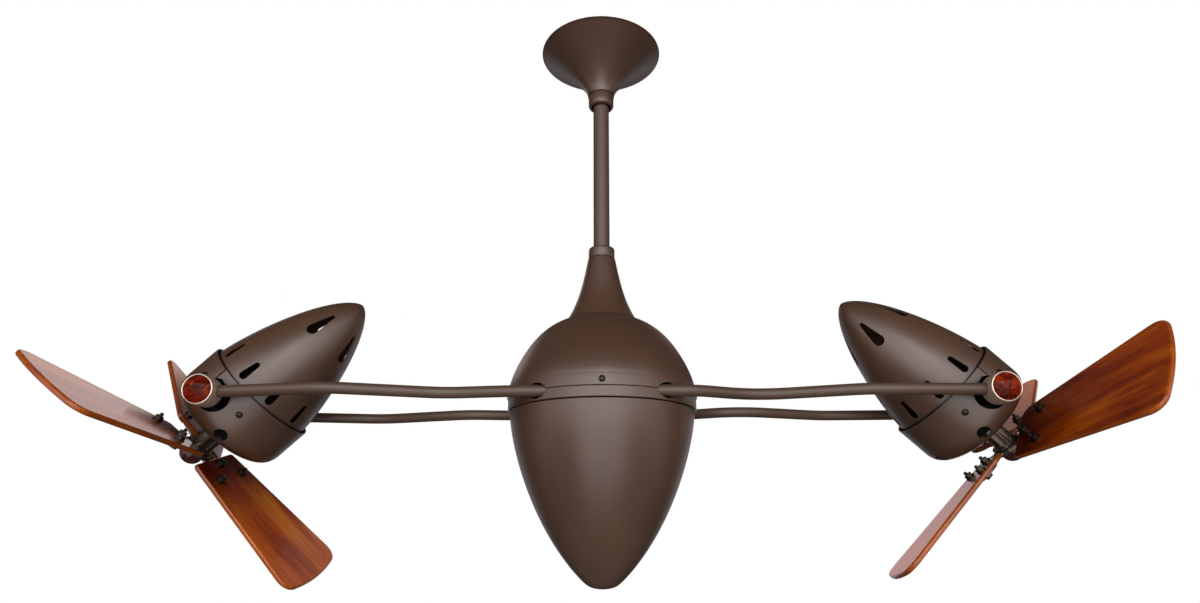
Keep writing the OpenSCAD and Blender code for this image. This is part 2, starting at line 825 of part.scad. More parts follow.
module belt_ring() {
    tab_out = belt_r - shell_t - 0.2;
    color(bronze)
        difference() {
            union() {
                ring(belt_r, belt_in, belt_bottom_z, belt_top_z);
                for (angle = [0 : 90 : 270])
                    rotate([0, 0, angle])
                        intersection() {
                            ring(tab_out, belt_in, belt_top_z - 1, belt_top_z + belt_tab_h);
                            translate([belt_in - 10, -belt_tab_w / 2, belt_bottom_z])
                                cube([20, belt_tab_w, belt_h + belt_tab_h]);
                        }
            }
            arm_holes();
            for (angle = [0 : 90 : 270])
                radial_pin(angle, belt_screw_d / 2 + fit, belt_in - 5, belt_r + cut, belt_screw_z);
        }
}

module belt_screws() {
    color(dark_metal)
        for (angle = [0 : 90 : 270]) round_screw(angle, belt_screw_d / 2, belt_in - 4, belt_r + play, belt_screw_z);
}

module bowl() {
    n = 24;
    rim_h = 3;
    in_r = belt_r - shell_t;
    in_h = bowl_h - shell_t;
    outer = [for (i = [0 : n]) let (u = toward_tip(i, n)) [bullet_at(u, belt_r), bowl_top_z - bowl_h * u]];
    first_u = rim_h / in_h;
    inner = [for (i = [0 : n]) let (u = first_u + (1 - first_u) * toward_tip(n - i, n))
        [bullet_at(u, in_r), bowl_top_z - in_h * u]];
    rim = [[belt_in, bowl_top_z - rim_h], [belt_in, bowl_top_z]];
    color(bronze) {
        rotate_extrude($fn = 120) polygon(concat(outer, inner, rim));
        intersection() {
            for (angle = bowl_screw_angles)
                rotate([0, 0, angle])
                    difference() {
                        union() {
                            translate([bowl_screw_r, 0, disc_bottom_z - bowl_boss_h])
                                cylinder(r = bowl_boss_r, h = bowl_boss_h);
                            translate([bowl_screw_r, -2, disc_bottom_z - bowl_boss_h])
                                cube([20, 4, bowl_boss_h]);
                        }
                        translate([bowl_screw_r, 0, disc_bottom_z - bowl_boss_h - cut])
                            cylinder(d = bowl_screw_d + 2 * fit, h = bowl_boss_h + 2 * cut);
                    }
            rotate_extrude($fn = 120)
                polygon(concat(
                    [[0, bowl_top_z]],
                    [for (p = outer) if (p.x > shell_t) [p.x - shell_t / 2, p.y]],
                    [[0, bowl_top_z - in_h]]
                ));
        }
    }
}

module bowl_screws() {
    color(zinc)
        for (angle = bowl_screw_angles)
            rotate([0, 0, angle])
                translate([bowl_screw_r, 0, disc_bottom_z - bowl_boss_h + 2]) {
                    cylinder(d = bowl_screw_d, h = bowl_boss_h - 2 + disc_t);
                    translate([0, 0, bowl_boss_h - 2 + disc_t]) cylinder(r = bowl_screw_d, h = 2.4);
                }
}

module carrier() {
    hub_r = bearing_r + hub_wall;
    seat_r = bearing_r + fit;
    color(casting)
        difference() {
            union() {
                translate([0, 0, disc_bottom_z]) cylinder(r = belt_in - play, h = disc_t);
                translate([0, 0, bowl_top_z]) cylinder(r = belt_r - 2.5, h = groove_h);
                translate([0, 0, hub_bottom_z]) cylinder(r = hub_r, h = hub_top_z - hub_bottom_z);
                for (side = [-1, 1]) {
                    translate([-boss_half, side * arm_y, arm_z])
                        rotate([0, 90, 0]) cylinder(r = boss_r, h = 2 * boss_half);
                    translate([-boss_half, side * arm_y - boss_r, disc_bottom_z])
                        cube([2 * boss_half, 2 * boss_r, arm_z - disc_bottom_z]);
                }
            }
            translate([0, 0, upper_bearing_z - bearing_w])
                cylinder(r = seat_r, h = bearing_w + bearing_recess + cut);
            translate([0, 0, hub_bottom_z - cut])
                cylinder(r = seat_r, h = lower_bearing_z - hub_bottom_z + cut);
            translate([0, 0, hub_bottom_z]) cylinder(r = bearing_r - 3, h = hub_top_z - hub_bottom_z);
            for (side = [-1, 1])
                translate([-boss_half - cut, side * arm_y, arm_z])
                    rotate([0, 90, 0]) cylinder(r = arm_r + fit, h = 2 * boss_half + 2 * cut);
            for (angle = bowl_screw_angles)
                rotate([0, 0, angle])
                    translate([bowl_screw_r, 0, disc_bottom_z - cut])
                        cylinder(d = bowl_screw_d + 2 * fit, h = disc_t + 2 * cut);
        }
}

// ---- Arms, sockets and pivots ----

module arm(route, side_x, side_y) {
    color(bronze)
        translate([0, 0, arm_z])
            mirror([side_x < 0 ? 1 : 0, 0, 0])
                mirror([0, side_y < 0 ? 1 : 0, 0])
                    bent_tube(route, bend_r, arm_r, arm_r - arm_wall);
}

module arm_left_front() { arm(left_route, -1, -1); }
module arm_left_rear() { arm(left_route, -1, 1); }
module arm_right_front() { arm(right_route, 1, -1); }
module arm_right_rear() { arm(right_route, 1, 1); }

// A barrel for the rear right corner; its pocket takes the end of the arm
module socket(route) {
    end = route[len(route) - 1];
    before = route[len(route) - 2];
    angle = atan2(end.y - before.y, end.x - before.x);
    difference() {
        translate([pivot_x, socket_in, arm_z])
            rotate([-90, 0, 0]) cylinder(r = socket_r, h = socket_len);
        translate([pivot_x, socket_out - cap_recess, arm_z])
            rotate([-90, 0, 0]) cylinder(r = cap_recess_r, h = cap_recess + cut);
        translate([pivot_x, socket_in - cut, arm_z])
            rotate([-90, 0, 0]) cylinder(r = bolt_r + fit, h = socket_len);
        translate([end.x, end.y, arm_z])
            rotate([0, 0, angle])
                rotate([0, -90, 0]) cylinder(r = arm_r + fit, h = 2 * socket_r);
    }
}

module left_sockets() {
    color(bronze)
        mirror([1, 0, 0])
            for (flip = [0, 1]) mirror([0, flip, 0]) socket(left_route);
}

module right_sockets() {
    color(bronze)
        for (flip = [0, 1]) mirror([0, flip, 0]) socket(right_route);
}

// Puts what lies on a pivot, drawn along +Z from the middle plane, at all four sockets
module at_pivots() {
    for (side_x = [-1, 1])
        for (side_y = [-1, 1])
            translate([side_x * pivot_x, 0, arm_z]) rotate([-90 * side_y, 0, 0]) children();
}

module pivot_caps() {
    r = socket_r - bezel_w - play;
    n = 8;
    color(burl)
        at_pivots()
            rotate_extrude($fn = 48)
                polygon(concat(
                    [[0, socket_out - 1.5], [cap_recess_r - play, socket_out - 1.5],
                        [cap_recess_r - play, socket_out], [r, socket_out]],
                    [for (i = [0 : n]) [r * cos(90 * i / n), socket_out + 1 + cap_h * sin(90 * i / n)]]
                ));
}

module cap_bezels() {
    color(bezel_metal)
        at_pivots()
            translate([0, 0, socket_out])
                rotate_extrude($fn = 48)
                    polygon([
                        [socket_r - bezel_w, 0], [socket_r, 0], [socket_r, bezel_h - 0.6],
                        [socket_r - 0.5, bezel_h], [socket_r - bezel_w, bezel_h]
                    ]);
}

module pivot_bolts() {
    seat = socket_out - cap_recess;
    color(zinc)
        at_pivots() {
            translate([0, 0, bolt_tip]) cylinder(r = bolt_r, h = seat - bolt_tip, $fn = 32);
            translate([0, 0, seat]) cylinder(r = bolt_head_r, h = bolt_head_h, $fn = 6);
            ring(washer_r, bolt_r + fit, socket_in - washer_t, socket_in);
        }
}

// ---- Heads ----

module along_tilt_axis(r, from, to) {
    translate([from, pivot_up, pivot_s])
        rotate([0, 90, 0]) cylinder(r = r, h = to - from);
}

module motor_case(side) {
    in_r = motor_r - motor_wall;
    case_len = motor_len - cover_t;
    color(casting)
        place_head(side)
            difference() {
                union() {
                    translate([0, 0, -motor_rear - case_len]) cylinder(r = motor_r, h = case_len);
                    for (turn = [0, 180])
                        rotate([0, 0, turn]) mirror([0, turn == 0 ? 0 : 1, 0])
                            along_tilt_axis(trunnion_r, motor_r - 6, trunnion_face);
                    for (angle = cowl_screw_angles)
                        radial_pin(angle, lug_r, motor_r - 3, lug_end, -cowl_screw_s);
                }
                difference() {
                    translate([0, 0, -motor_rear - case_len - cut])
                        cylinder(r = in_r, h = case_len - motor_wall + cut);
                    translate([0, 0, -motor_rear - 8]) cylinder(r = bearing_boss_r, h = 8);
                }
                translate([0, 0, -motor_rear - 8 - cut]) cylinder(r = shaft_r + fit, h = 6 + cut);
                for (turn = [0, 180])
                    rotate([0, 0, turn]) mirror([0, turn == 0 ? 0 : 1, 0])
                        along_tilt_axis(bolt_r + fit, bolt_tip - 0.5, trunnion_face + cut);
                for (angle = cowl_screw_angles)
                    radial_pin(angle, cowl_screw_r + fit, motor_r + 2, lug_end + cut, -cowl_screw_s);
            }
}

module motor_cover(side) {
    color(casting)
        place_head(side) {
            ring(motor_r, shaft_r + fit, motor_front_s, motor_front_s + cover_t);
            ring(bearing_boss_r, shaft_r + fit, motor_front_s + cover_t, motor_front_s + cover_t + 5);
        }
}

module stator(side) {
    teeth = 12;
    color(copper)
        place_head(side)
            difference() {
                ring(motor_r - motor_wall - play, rotor_r + loose, stator_s - stator_len, stator_s);
                for (i = [0 : teeth - 1])
                    rotate([0, 0, 360 * i / teeth])
                        translate([rotor_r + 3, -2, stator_s - 8]) cube([12, 4, 9]);
            }
}

module front_cowl(side) {
    n = 14;
    in_r = front_in - front_taper;
    round_r = front_r - front_taper;
    in_round = front_round - cowl_t;
    u_out = cup_u(front_hole_d / 2, round_r);
    u_in = cup_u(front_hole_d / 2, in_r);
    outer = [for (i = [0 : n]) let (u = u_out * toward_tip(i, n))
        [cup_at(u, round_r), -front_straight - front_round * u]];
    inner = [for (i = [0 : n]) let (u = u_in * toward_tip(n - i, n))
        [cup_at(u, in_r), -front_straight - in_round * u]];
    color(bronze)
        place_head(side)
            difference() {
                rotate_extrude($fn = 96)
                    polygon(concat([[front_in, front_lap], [front_r, front_lap]], outer, inner));
                along_tilt_axis(pivot_hole_d / 2, -front_r - cut, front_r + cut);
                translate([-front_r - cut, pivot_up - tongue_slot_w / 2, pivot_s])
                    cube([2 * front_r + 2 * cut, tongue_slot_w, front_lap - pivot_s + cut]);
                for (i = [0 : front_vents - 1])
                    radial_pin(180 / front_vents + 360 * i / front_vents, front_vent_d / 2,
                        motor_r, front_r + cut, -front_vent_s);
                for (angle = cowl_screw_angles)
                    radial_pin(angle, cowl_screw_r + play, motor_r, front_r + cut, -cowl_screw_s);
            }
}

module rear_cowl(side) {
    n = 24;
    in_r = rear_r - cowl_t;
    in_len = rear_len - cowl_t * 1.4;
    tab_in = in_r + 0.3;
    tongue_w = tongue_slot_w - 2 * tongue_gap;
    turn = side == LEFT ? 0 : right_cowl_turn;
    outer = [for (i = [0 : n]) let (u = toward_tip(i, n)) [bullet_at(u, rear_r), rear_len * u]];
    inner = [for (i = [0 : n]) let (u = toward_tip(n - i, n)) [bullet_at(u, in_r), in_len * u]];
    color(bronze)
        place_head(side)
            difference() {
                union() {
                    rotate_extrude($fn = 96)
                        polygon(concat([[in_r, -spigot_len], [rear_r, -spigot_len]], outer, inner));
                    for (angle = cowl_screw_angles)
                        rotate([0, 0, angle - tab_half_angle])
                            rotate_extrude(angle = 2 * tab_half_angle, $fn = 96)
                                polygon([
                                    [tab_in, -tab_len], [tab_r, -tab_len], [tab_r, -5],
                                    [rear_r - 0.5, -3], [tab_in, -3]
                                ]);
                    intersection() {
                        ring(front_r, tab_in, -spigot_len - 4, front_lap);
                        translate([-front_r, pivot_up - tongue_w / 2, -spigot_len - 4])
                            cube([2 * front_r, tongue_w, spigot_len + 4 + front_lap]);
                    }
                }
                along_tilt_axis(pivot_hole_d / 2, -front_r - cut, front_r + cut);
                for (i = [0 : small_vents - 1])
                    teardrop(turn + 360 * i / small_vents, small_vent, front_r);
                for (i = [0 : large_vents - 1])
                    teardrop(turn + 180 + 360 * i / large_vents, large_vent, front_r);
                for (angle = cowl_screw_angles)
                    radial_pin(angle, cowl_screw_r + play, in_r - 3, front_r + cut, -cowl_screw_s);
            }
}

module cowl_screws(side) {
    color(dark_metal)
        place_head(side)
            for (angle = cowl_screw_angles)
                round_screw(angle, cowl_screw_r, motor_r + 3, front_r + play, -cowl_screw_s);
}

// ---- Blades ----

module shaft(side) {
    top = -motor_rear - 4;
    color(steel)
        place_head(side) {
            translate([0, 0, iron_s]) cylinder(r = shaft_r, h = top - iron_s);
            translate([0, 0, stator_s - 2 - rotor_len]) cylinder(r = rotor_r, h = rotor_len);
        }
}

module hub(side) {
    lobe_r = hub_d / 4 + 0.4;
    lobe_at = hub_d / 2 - lobe_r;
    core_r = hub_d / 2 - 3;
    lobes_h = hub_top_s - flange_s + 1;
    color(dark_metal)
        place_head(side)
            difference() {
                union() {
                    translate([0, 0, flange_s - 1])
                        linear_extrude(lobes_h) {
                            circle(r = core_r, $fn = 48);
                            for (i = [0 : 2])
                                rotate(60 + 120 * i) translate([lobe_at, 0]) circle(r = lobe_r, $fn = 32);
                        }
                    translate([0, 0, iron_s]) cylinder(r = core_r - 1, h = flange_s - iron_s);
                    translate([0, 0, flange_s - flange_t]) cylinder(d = flange_d, h = flange_t, $fn = 48);
                }
                translate([0, 0, iron_s - cut])
                    cylinder(r = shaft_r + fit, h = hub_top_s - iron_s + 2 * cut);
            }
}

module iron_outline() {
    wide = stud_pitch / 2 + 7;
    far = stud_out + 8;
    polygon([
        [6, -8], [stud_in - 8, -9], [stud_out - 6, -wide], [far - 4, -wide], [far, 4 - wide],
        [far, wide - 4], [far - 4, wide], [stud_out - 6, wide], [stud_in - 8, 9], [6, 8]
    ]);
}

module irons(side) {
    color(dark_metal) {
        difference() {
            union() {
                place_head(side)
                    translate([0, 0, nose_s]) cylinder(r = iron_disc_r, h = iron_disc_t);
                for (i = [0 : 2])
                    place_blade(side, i)
                        translate([0, 0, -blade_t - iron_t]) linear_extrude(iron_t) iron_outline();
            }
            place_head(side)
                translate([0, 0, iron_s]) cylinder(r = blade_root - 1, h = blade_t + 10);
            for (i = [0 : 2])
                place_blade(side, i)
                    for (p = stud_places)
                        translate([p.x, p.y, -blade_t - iron_t - cut])
                            cylinder(d = stud_d + 2 * fit, h = iron_t + 2 * cut, $fn = 32);
        }
    }
}

module blade_outline(root_r) {
    n = 10;
    m = 6;
    half_root = root_w / 2;
    half_tip = tip_w / 2;
    arc_r = (pow(half_tip, 2) + pow(tip_bulge, 2)) / (2 * tip_bulge + 0.001);
    arc_x = blade_tip + tip_bulge - arc_r;
    edge = atan((half_tip - half_root) / (blade_tip - blade_root));
    along = [cos(edge), sin(edge)];
    from = [blade_root - arc_x, half_root] + tip_corner * [sin(edge), -cos(edge)];
    reach = -from * along + sqrt(pow(from * along, 2) - from * from + pow(arc_r - tip_corner, 2));
    mid = from + reach * along;
    half_arc = atan2(mid.y, mid.x);
    step = (90 + edge - half_arc) / m;
    tip = [for (i = [0 : n]) let (a = half_arc * (2 * i / n - 1))
        [arc_x + arc_r * cos(a), arc_r * sin(a)]];
    upper = [for (i = [1 : m]) let (a = half_arc + step * i)
        [arc_x + mid.x + tip_corner * cos(a), mid.y + tip_corner * sin(a)]];
    lower = [for (i = [m : -1 : 1]) [upper[i - 1].x, -upper[i - 1].y]];
    corner = [for (i = [0 : 6]) let (a = 90 + edge + i * (90 - edge) / 6)
        [blade_root + root_r + root_r * cos(a),
            half_root - root_r * (1 - sin(edge)) / cos(edge) + root_r * sin(a)]];
    polygon(concat(
        [[blade_root, 3 - half_root], [blade_root + 3, -half_root]], lower, tip, upper, corner
    ));
}

module blade(side, index) {
    root_r = side == LEFT ? left_root_r : right_root_r;
    color(wood)
        place_blade(side, index)
            difference() {
                translate([0, 0, -blade_t]) linear_extrude(blade_t) blade_outline(root_r);
                for (p = stud_places)
                    translate([p.x, p.y, -blade_t - cut])
                        cylinder(d = stud_d + 2 * play, h = blade_t + 2 * cut, $fn = 32);
            }
}

module fasteners(side) {
    under = -blade_t - iron_t;
    color(dark_metal)
        for (i = [0 : 2])
            place_blade(side, i)
                for (p = stud_places)
                    translate([p.x, p.y, 0]) {
                        translate([0, 0, under - bolt_cap_h]) cylinder(r = stud_d, h = bolt_cap_h, $fn = 32);
                        translate([0, 0, under]) cylinder(d = stud_d, h = stud_over - under, $fn = 32);
                        cylinder(r = stud_d + 1.4, h = washer_h, $fn = 32);
                        translate([0, 0, washer_h])
                            cylinder(d = stud_nut_af / cos(30), h = stud_nut_h, $fn = 6);
                    }
}

module nose(side) {
    n = 10;
    r = nose_d / 2;
    color(wood)
        place_head(side)
            translate([0, 0, nose_s])
                rotate_extrude($fn = 48)
                    polygon(concat(
                        [[0, 0], [r, 0]],
                        [for (i = [0 : n]) [r * cos(90 * i / n), -nose_h * (0.3 + 0.7 * sin(90 * i / n))]]
                    ));
}

module left_motor_case() { motor_case(LEFT); }
module left_motor_cover() { motor_cover(LEFT); }
module left_stator() { stator(LEFT); }
module left_front_cowl() { front_cowl(LEFT); }
module left_rear_cowl() { rear_cowl(LEFT); }
module left_cowl_screws() { cowl_screws(LEFT); }
module left_shaft() { shaft(LEFT); }
module left_hub() { hub(LEFT); }
module left_irons() { irons(LEFT); }
module left_blade_a() { blade(LEFT, 0); }
module left_blade_b() { blade(LEFT, 1); }
module left_blade_c() { blade(LEFT, 2); }
module left_fasteners() { fasteners(LEFT); }
module left_nose() { nose(LEFT); }

module right_motor_case() { motor_case(RIGHT); }
module right_motor_cover() { motor_cover(RIGHT); }
module right_stator() { stator(RIGHT); }
module right_front_cowl() { front_cowl(RIGHT); }
module right_rear_cowl() { rear_cowl(RIGHT); }
module right_cowl_screws() { cowl_screws(RIGHT); }
module right_shaft() { shaft(RIGHT); }
module right_hub() { hub(RIGHT); }
module right_irons() { irons(RIGHT); }
module right_blade_a() { blade(RIGHT, 0); }
module right_blade_b() { blade(RIGHT, 1); }
module right_blade_c() { blade(RIGHT, 2); }
module right_fasteners() { fasteners(RIGHT); }
module right_nose() { nose(RIGHT); }

hanger_bracket();
hang_ball();
canopy();
canopy_collar();
downrod();
neck_collar();
neck_cover();
coupling();
cross_pins();
set_screws();
spindle();
bearing_inners();
slip_ring();
spindle_nut();
dome();
belt_ring();
bowl();
belt_screws();
bowl_screws();
carrier();
bearing_outers();
brush_block();
arm_left_front();
arm_left_rear();
arm_right_front();
arm_right_rear();
left_sockets();
right_sockets();
pivot_caps();
cap_bezels();
pivot_bolts();
left_motor_case();
left_motor_cover();
left_stator();
left_front_cowl();
left_rear_cowl();
left_cowl_screws();
left_shaft();
left_hub();
left_irons();
left_blade_a();
left_blade_b();
left_blade_c();
left_fasteners();
left_nose();
right_motor_case();
right_motor_cover();
right_stator();
right_front_cowl();
right_rear_cowl();
right_cowl_screws();
right_shaft();
right_hub();
right_irons();
right_blade_a();
right_blade_b();
right_blade_c();
right_fasteners();
right_nose();
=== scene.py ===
import math

import bmesh
import bpy
from mathutils import Matrix, Vector


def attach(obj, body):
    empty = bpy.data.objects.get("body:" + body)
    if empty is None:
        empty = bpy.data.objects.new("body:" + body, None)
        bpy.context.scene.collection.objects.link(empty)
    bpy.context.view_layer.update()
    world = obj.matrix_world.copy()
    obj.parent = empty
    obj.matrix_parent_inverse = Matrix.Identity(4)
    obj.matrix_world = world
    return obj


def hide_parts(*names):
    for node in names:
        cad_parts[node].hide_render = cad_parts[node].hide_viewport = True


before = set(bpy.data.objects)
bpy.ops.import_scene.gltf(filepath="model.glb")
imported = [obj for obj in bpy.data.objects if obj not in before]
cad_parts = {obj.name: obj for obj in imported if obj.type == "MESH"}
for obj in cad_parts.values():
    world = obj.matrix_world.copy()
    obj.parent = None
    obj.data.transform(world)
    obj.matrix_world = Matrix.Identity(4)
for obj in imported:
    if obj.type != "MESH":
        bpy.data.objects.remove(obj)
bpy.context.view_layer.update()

# Twin head ceiling fan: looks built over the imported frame. Sizes below are in millimetres.
millimetre = 0.001
scene = bpy.context.scene
toMetres = Matrix.Scale(millimetre, 4)


def turn(axis, degrees):
    return Matrix.Rotation(math.radians(degrees), 4, axis)


def shift(x, y, z):
    return Matrix.Translation((x, y, z))


# small helpers for node trees

def linearColour(code):
    # sRGB hex to the linear colour the shaders expect
    parts = [int(code[i:i + 2], 16) / 255 for i in (1, 3, 5)]
    return [c / 12.92 if c <= 0.04045 else ((c + 0.055) / 1.055) ** 2.4 for c in parts] + [1.0]


def addNode(tree, kind, column, row, settings=None):
    # settings name the node's properties or inputs; an input takes a value, a socket that feeds it, or a
    # node, which feeds it from its first output
    node = tree.nodes.new(kind)
    node.location = (column * 220, -row * 190)
    for name, value in (settings or {}).items():
        if isinstance(value, bpy.types.Node):
            value = value.outputs[0]
        if isinstance(value, bpy.types.NodeSocket):
            tree.links.new(value, node.inputs[name])
        elif isinstance(name, int) or name in node.inputs:
            node.inputs[name].default_value = value
        else:
            setattr(node, name, value)
    return node


def arithmetic(tree, column, row, operation, *values):
    return addNode(tree, "ShaderNodeMath", column, row, {"operation": operation, **dict(enumerate(values))})


def noise(tree, column, row, place, scale, detail, **more):
    return addNode(tree, "ShaderNodeTexNoise", column, row, {
        "Vector": place, "Scale": scale, "Detail": detail, **more})


def mixedValues(tree, column, row, share, first, second):
    return addNode(tree, "ShaderNodeMix", column, row, {"data_type": "FLOAT", 0: share, 2: first, 3: second})


def mixedColours(tree, column, row, share, first, code):
    # the first colour comes from a node, and the second is sRGB hex
    return addNode(tree, "ShaderNodeMix", column, row, {
        "data_type": "RGBA", 0: share, 6: first, 7: linearColour(code)}).outputs[2]


def remapped(tree, column, row, value, given, wanted):
    # carries a value from one range over to another
    return addNode(tree, "ShaderNodeMapRange", column, row, {
        "Value": value, "From Min": given[0], "From Max": given[1], "To Min": wanted[0],
        "To Max": wanted[1]})


def colourBand(tree, column, row, factor, stops):
    band = addNode(tree, "ShaderNodeValToRGB", column, row, {"Fac": factor})
    ramp = band.color_ramp
    while len(ramp.elements) < len(stops):
        ramp.elements.new(0.5)
    for element, (place, code) in zip(ramp.elements, stops):
        element.position = place
        element.color = linearColour(code)
    return band


def newMaterial(name):
    material = bpy.data.materials.new(name)
    material.use_nodes = True
    tree = material.node_tree
    tree.nodes.clear()
    return material, tree


def finishShader(tree, column, settings):
    shader = addNode(tree, "ShaderNodeBsdfPrincipled", column, 0, settings)
    addNode(tree, "ShaderNodeOutputMaterial", column + 1, 0, {"Surface": shader})


# materials

def powderCoat(name, dark, light, roughness, peel=0.00006, gloss=0.66):
    # Polyester powder coat in oil-rubbed bronze, sprayed and baked on spun aluminium and steel: an even
    # satin skin with a fine orange peel, and a painted shadow, near black, on skin marked behind a seam's
    # lip.
    # The peel is drawn 2.5 mm wide so that it shows.
    material, tree = newMaterial(name)
    place = addNode(tree, "ShaderNodeTexCoord", 0, 0).outputs["Object"]
    cloud = noise(tree, 1, 0, place, 9.0, 2.0)
    speck = noise(tree, 1, 1, place, 900.0, 2.0)
    dimples = noise(tree, 1, 2, place, 400.0, 3.0)
    blend = mixedValues(tree, 2, 0, 0.35, cloud, speck)
    colour = colourBand(tree, 3, 0, blend, [(0.38, dark), (0.62, light)])
    # painted shadow: the skin marked behind the seam's lip is mixed to near black
    seam = addNode(tree, "ShaderNodeAttribute", 2, 4, {"attribute_name": "paintedSeamShadow"})
    seamShadowed = mixedColours(tree, 4, 3, seam.outputs["Fac"], colour, "#070504")
    blur = remapped(tree, 3, 1, speck, (0.3, 0.7), (roughness - 0.03, roughness + 0.04))
    skin = addNode(tree, "ShaderNodeBump", 3, 2, {"Strength": 0.35, "Distance": peel, "Height": dimples})
    finishShader(tree, 5, {
        "Metallic": 0.0, "IOR": 1.5, "Specular IOR Level": gloss, "Base Color": seamShadowed,
        "Roughness": blur, "Normal": skin})
    return material


def brushedMetal(name, dark, light, roughness, stretch, metallic=1.0):
    # Turned or brushed metal under a thin lacquer: long fine scratches that spread the highlight
    material, tree = newMaterial(name)
    place = addNode(tree, "ShaderNodeTexCoord", 0, 0).outputs["Object"]
    along = addNode(tree, "ShaderNodeMapping", 1, 0, {"Scale": stretch, "Vector": place})
    scratch = noise(tree, 2, 0, along, 1.0, 4.0)
    cloud = noise(tree, 2, 1, place, 60.0, 2.0)
    both = mixedValues(tree, 3, 0, 0.4, scratch, cloud)
    colour = colourBand(tree, 4, 0, both, [(0.3, dark), (0.7, light)])
    blur = remapped(tree, 4, 1, scratch, (0.3, 0.7), (roughness - 0.05, roughness + 0.07))
    skin = addNode(tree, "ShaderNodeBump", 4, 2, {"Strength": 0.2, "Distance": 0.00003, "Height": scratch})
    finishShader(tree, 5, {"Metallic": metallic, "Base Color": colour, "Roughness": blur, "Normal": skin})
    return material


def lacqueredMahogany(name):
    # Solid mahogany, planed and sanded, stained red brown and sprayed with gloss lacquer: golden ribbons
    # slanting across straight fine grain, and dark pore lines under an even gloss. The pores are 0.3 mm
    # wide in the real wood and are drawn about 1 mm wide so that they show.
    material, tree = newMaterial(name)
    place = addNode(tree, "ShaderNodeAttribute", 0, 0, {"attribute_name": "alongGrain"}).outputs["Vector"]
    edge = addNode(tree, "ShaderNodeAttribute", 0, 2, {"attribute_name": "cutEdge"}).outputs["Fac"]
    board = addNode(tree, "ShaderNodeAttribute", 6, 1, {"attribute_name": "boardTone"}).outputs["Fac"]
    sway = noise(tree, 1, 1, place, 6.0, 1.0)
    bent = addNode(tree, "ShaderNodeVectorMath", 2, 1, {
        "operation": "MULTIPLY_ADD", 1: (0.0, 0.022, 0.0), 0: sway.outputs["Color"], 2: place})
    # each pattern's scale along, across and through the board, its slant in radians, detail and roughness
    patterns = {
        "figure": ((5.0, 44.0, 8.0), 0.12, 3.0, 0.55), "ribbon": ((13.0, 30.0, 8.0), 0.45, 2.0, 0.5),
        "grain": ((16.0, 700.0, 200.0), 0.0, 5.0, 0.62), "pore": ((30.0, 900.0, 300.0), 0.0, 2.0, 0.5)}
    made = {}
    for row, (pattern, (scale, slant, detail, coarse)) in enumerate(patterns.items()):
        spread = addNode(tree, "ShaderNodeMapping", 3, row, {
            "Scale": scale, "Rotation": (0, 0, slant), "Vector": bent})
        made[pattern] = noise(tree, 4, row, spread, 1.0, detail, Roughness=coarse)
    figures = mixedValues(tree, 5, 0, 0.4, made["figure"], made["ribbon"])
    tones = mixedValues(tree, 6, 0, 0.3, figures, made["grain"])
    boardTones = arithmetic(tree, 7, 1, "ADD", tones, board)
    flat = colourBand(tree, 7, 0, boardTones,
                      [(0.36, "#5c1600"), (0.46, "#943600"), (0.54, "#ba5200"), (0.66, "#d27f10")])
    pores = remapped(tree, 5, 3, made["pore"], (0.58, 0.68), (0.0, 0.48))
    pored = mixedColours(tree, 8, 0, pores, flat, "#300d03")
    # the wood darkens toward the root, partly a stain and partly painted shade of the hub and cowl, and the
    # rounded edges are drawn in a paler orange
    along = addNode(tree, "ShaderNodeSeparateXYZ", 8, 1, {0: place})
    rootDarkening = remapped(tree, 9, 1, along, (0.035, 0.12), (0.93, 0.0))
    rootDarkened = mixedColours(tree, 9, 0, rootDarkening, pored, "#300100")
    cut = mixedColours(tree, 10, 0, edge, rootDarkened, "#8a4410")
    skin = addNode(tree, "ShaderNodeBump", 8, 3, {
        "Strength": 0.06, "Distance": 0.00002, "invert": True, "Height": pores})
    finishShader(tree, 11, {
        "Roughness": 0.45, "IOR": 1.5, "Specular IOR Level": 0.04, "Specular Tint": linearColour("#ffd9c4"),
        "Coat Weight": 0.7, "Coat Roughness": 0.12, "Coat IOR": 1.5, "Base Color": cut,
        "Normal": skin})
    return material


def polishedBurl(name):
    # Stabilised red burl, turned and buffed under clear resin: clouds of red brown with dark eyes
    material, tree = newMaterial(name)
    place = addNode(tree, "ShaderNodeTexCoord", 0, 0).outputs["Object"]
    swirl = noise(tree, 1, 0, place, 70.0, 3.0, Distortion=1.5)
    bent = addNode(tree, "ShaderNodeVectorMath", 2, 0, {
        "operation": "MULTIPLY_ADD", 1: (0.01, 0.01, 0.01), 0: swirl.outputs["Color"], 2: place})
    eyes = addNode(tree, "ShaderNodeTexVoronoi", 3, 0, {"Scale": 170.0, "Vector": bent})
    cloud = colourBand(tree, 3, 1, swirl, [(0.35, "#2c0702"), (0.5, "#5e1607"), (0.66, "#842c13")])
    dots = remapped(tree, 4, 0, eyes, (0.14, 0.30), (0.85, 0.0))
    colour = mixedColours(tree, 5, 0, dots, cloud, "#1d0503")
    finishShader(tree, 6, {
        "Roughness": 0.35, "IOR": 1.5, "Specular IOR Level": 0.0, "Coat Weight": 0.14, "Coat Roughness": 0.1,
        "Base Color": colour})
    return material


def castSurface(name, dark, light, roughness, metallic, grain=500.0, gloss=0.5):
    # Die cast or moulded surface straight from the mould: a fine even grain without polish
    material, tree = newMaterial(name)
    place = addNode(tree, "ShaderNodeTexCoord", 0, 0).outputs["Object"]
    texture = noise(tree, 1, 0, place, grain, 4.0)
    colour = colourBand(tree, 2, 0, texture, [(0.35, dark), (0.65, light)])
    blur = remapped(tree, 2, 1, texture, (0.0, 1.0), (roughness - 0.08, roughness + 0.1))
    skin = addNode(tree, "ShaderNodeBump", 2, 2, {"Strength": 0.3, "Distance": 0.00008, "Height": texture})
    finishShader(tree, 3, {
        "Metallic": metallic, "Specular IOR Level": gloss, "Base Color": colour, "Roughness": blur,
        "Normal": skin})
    return material


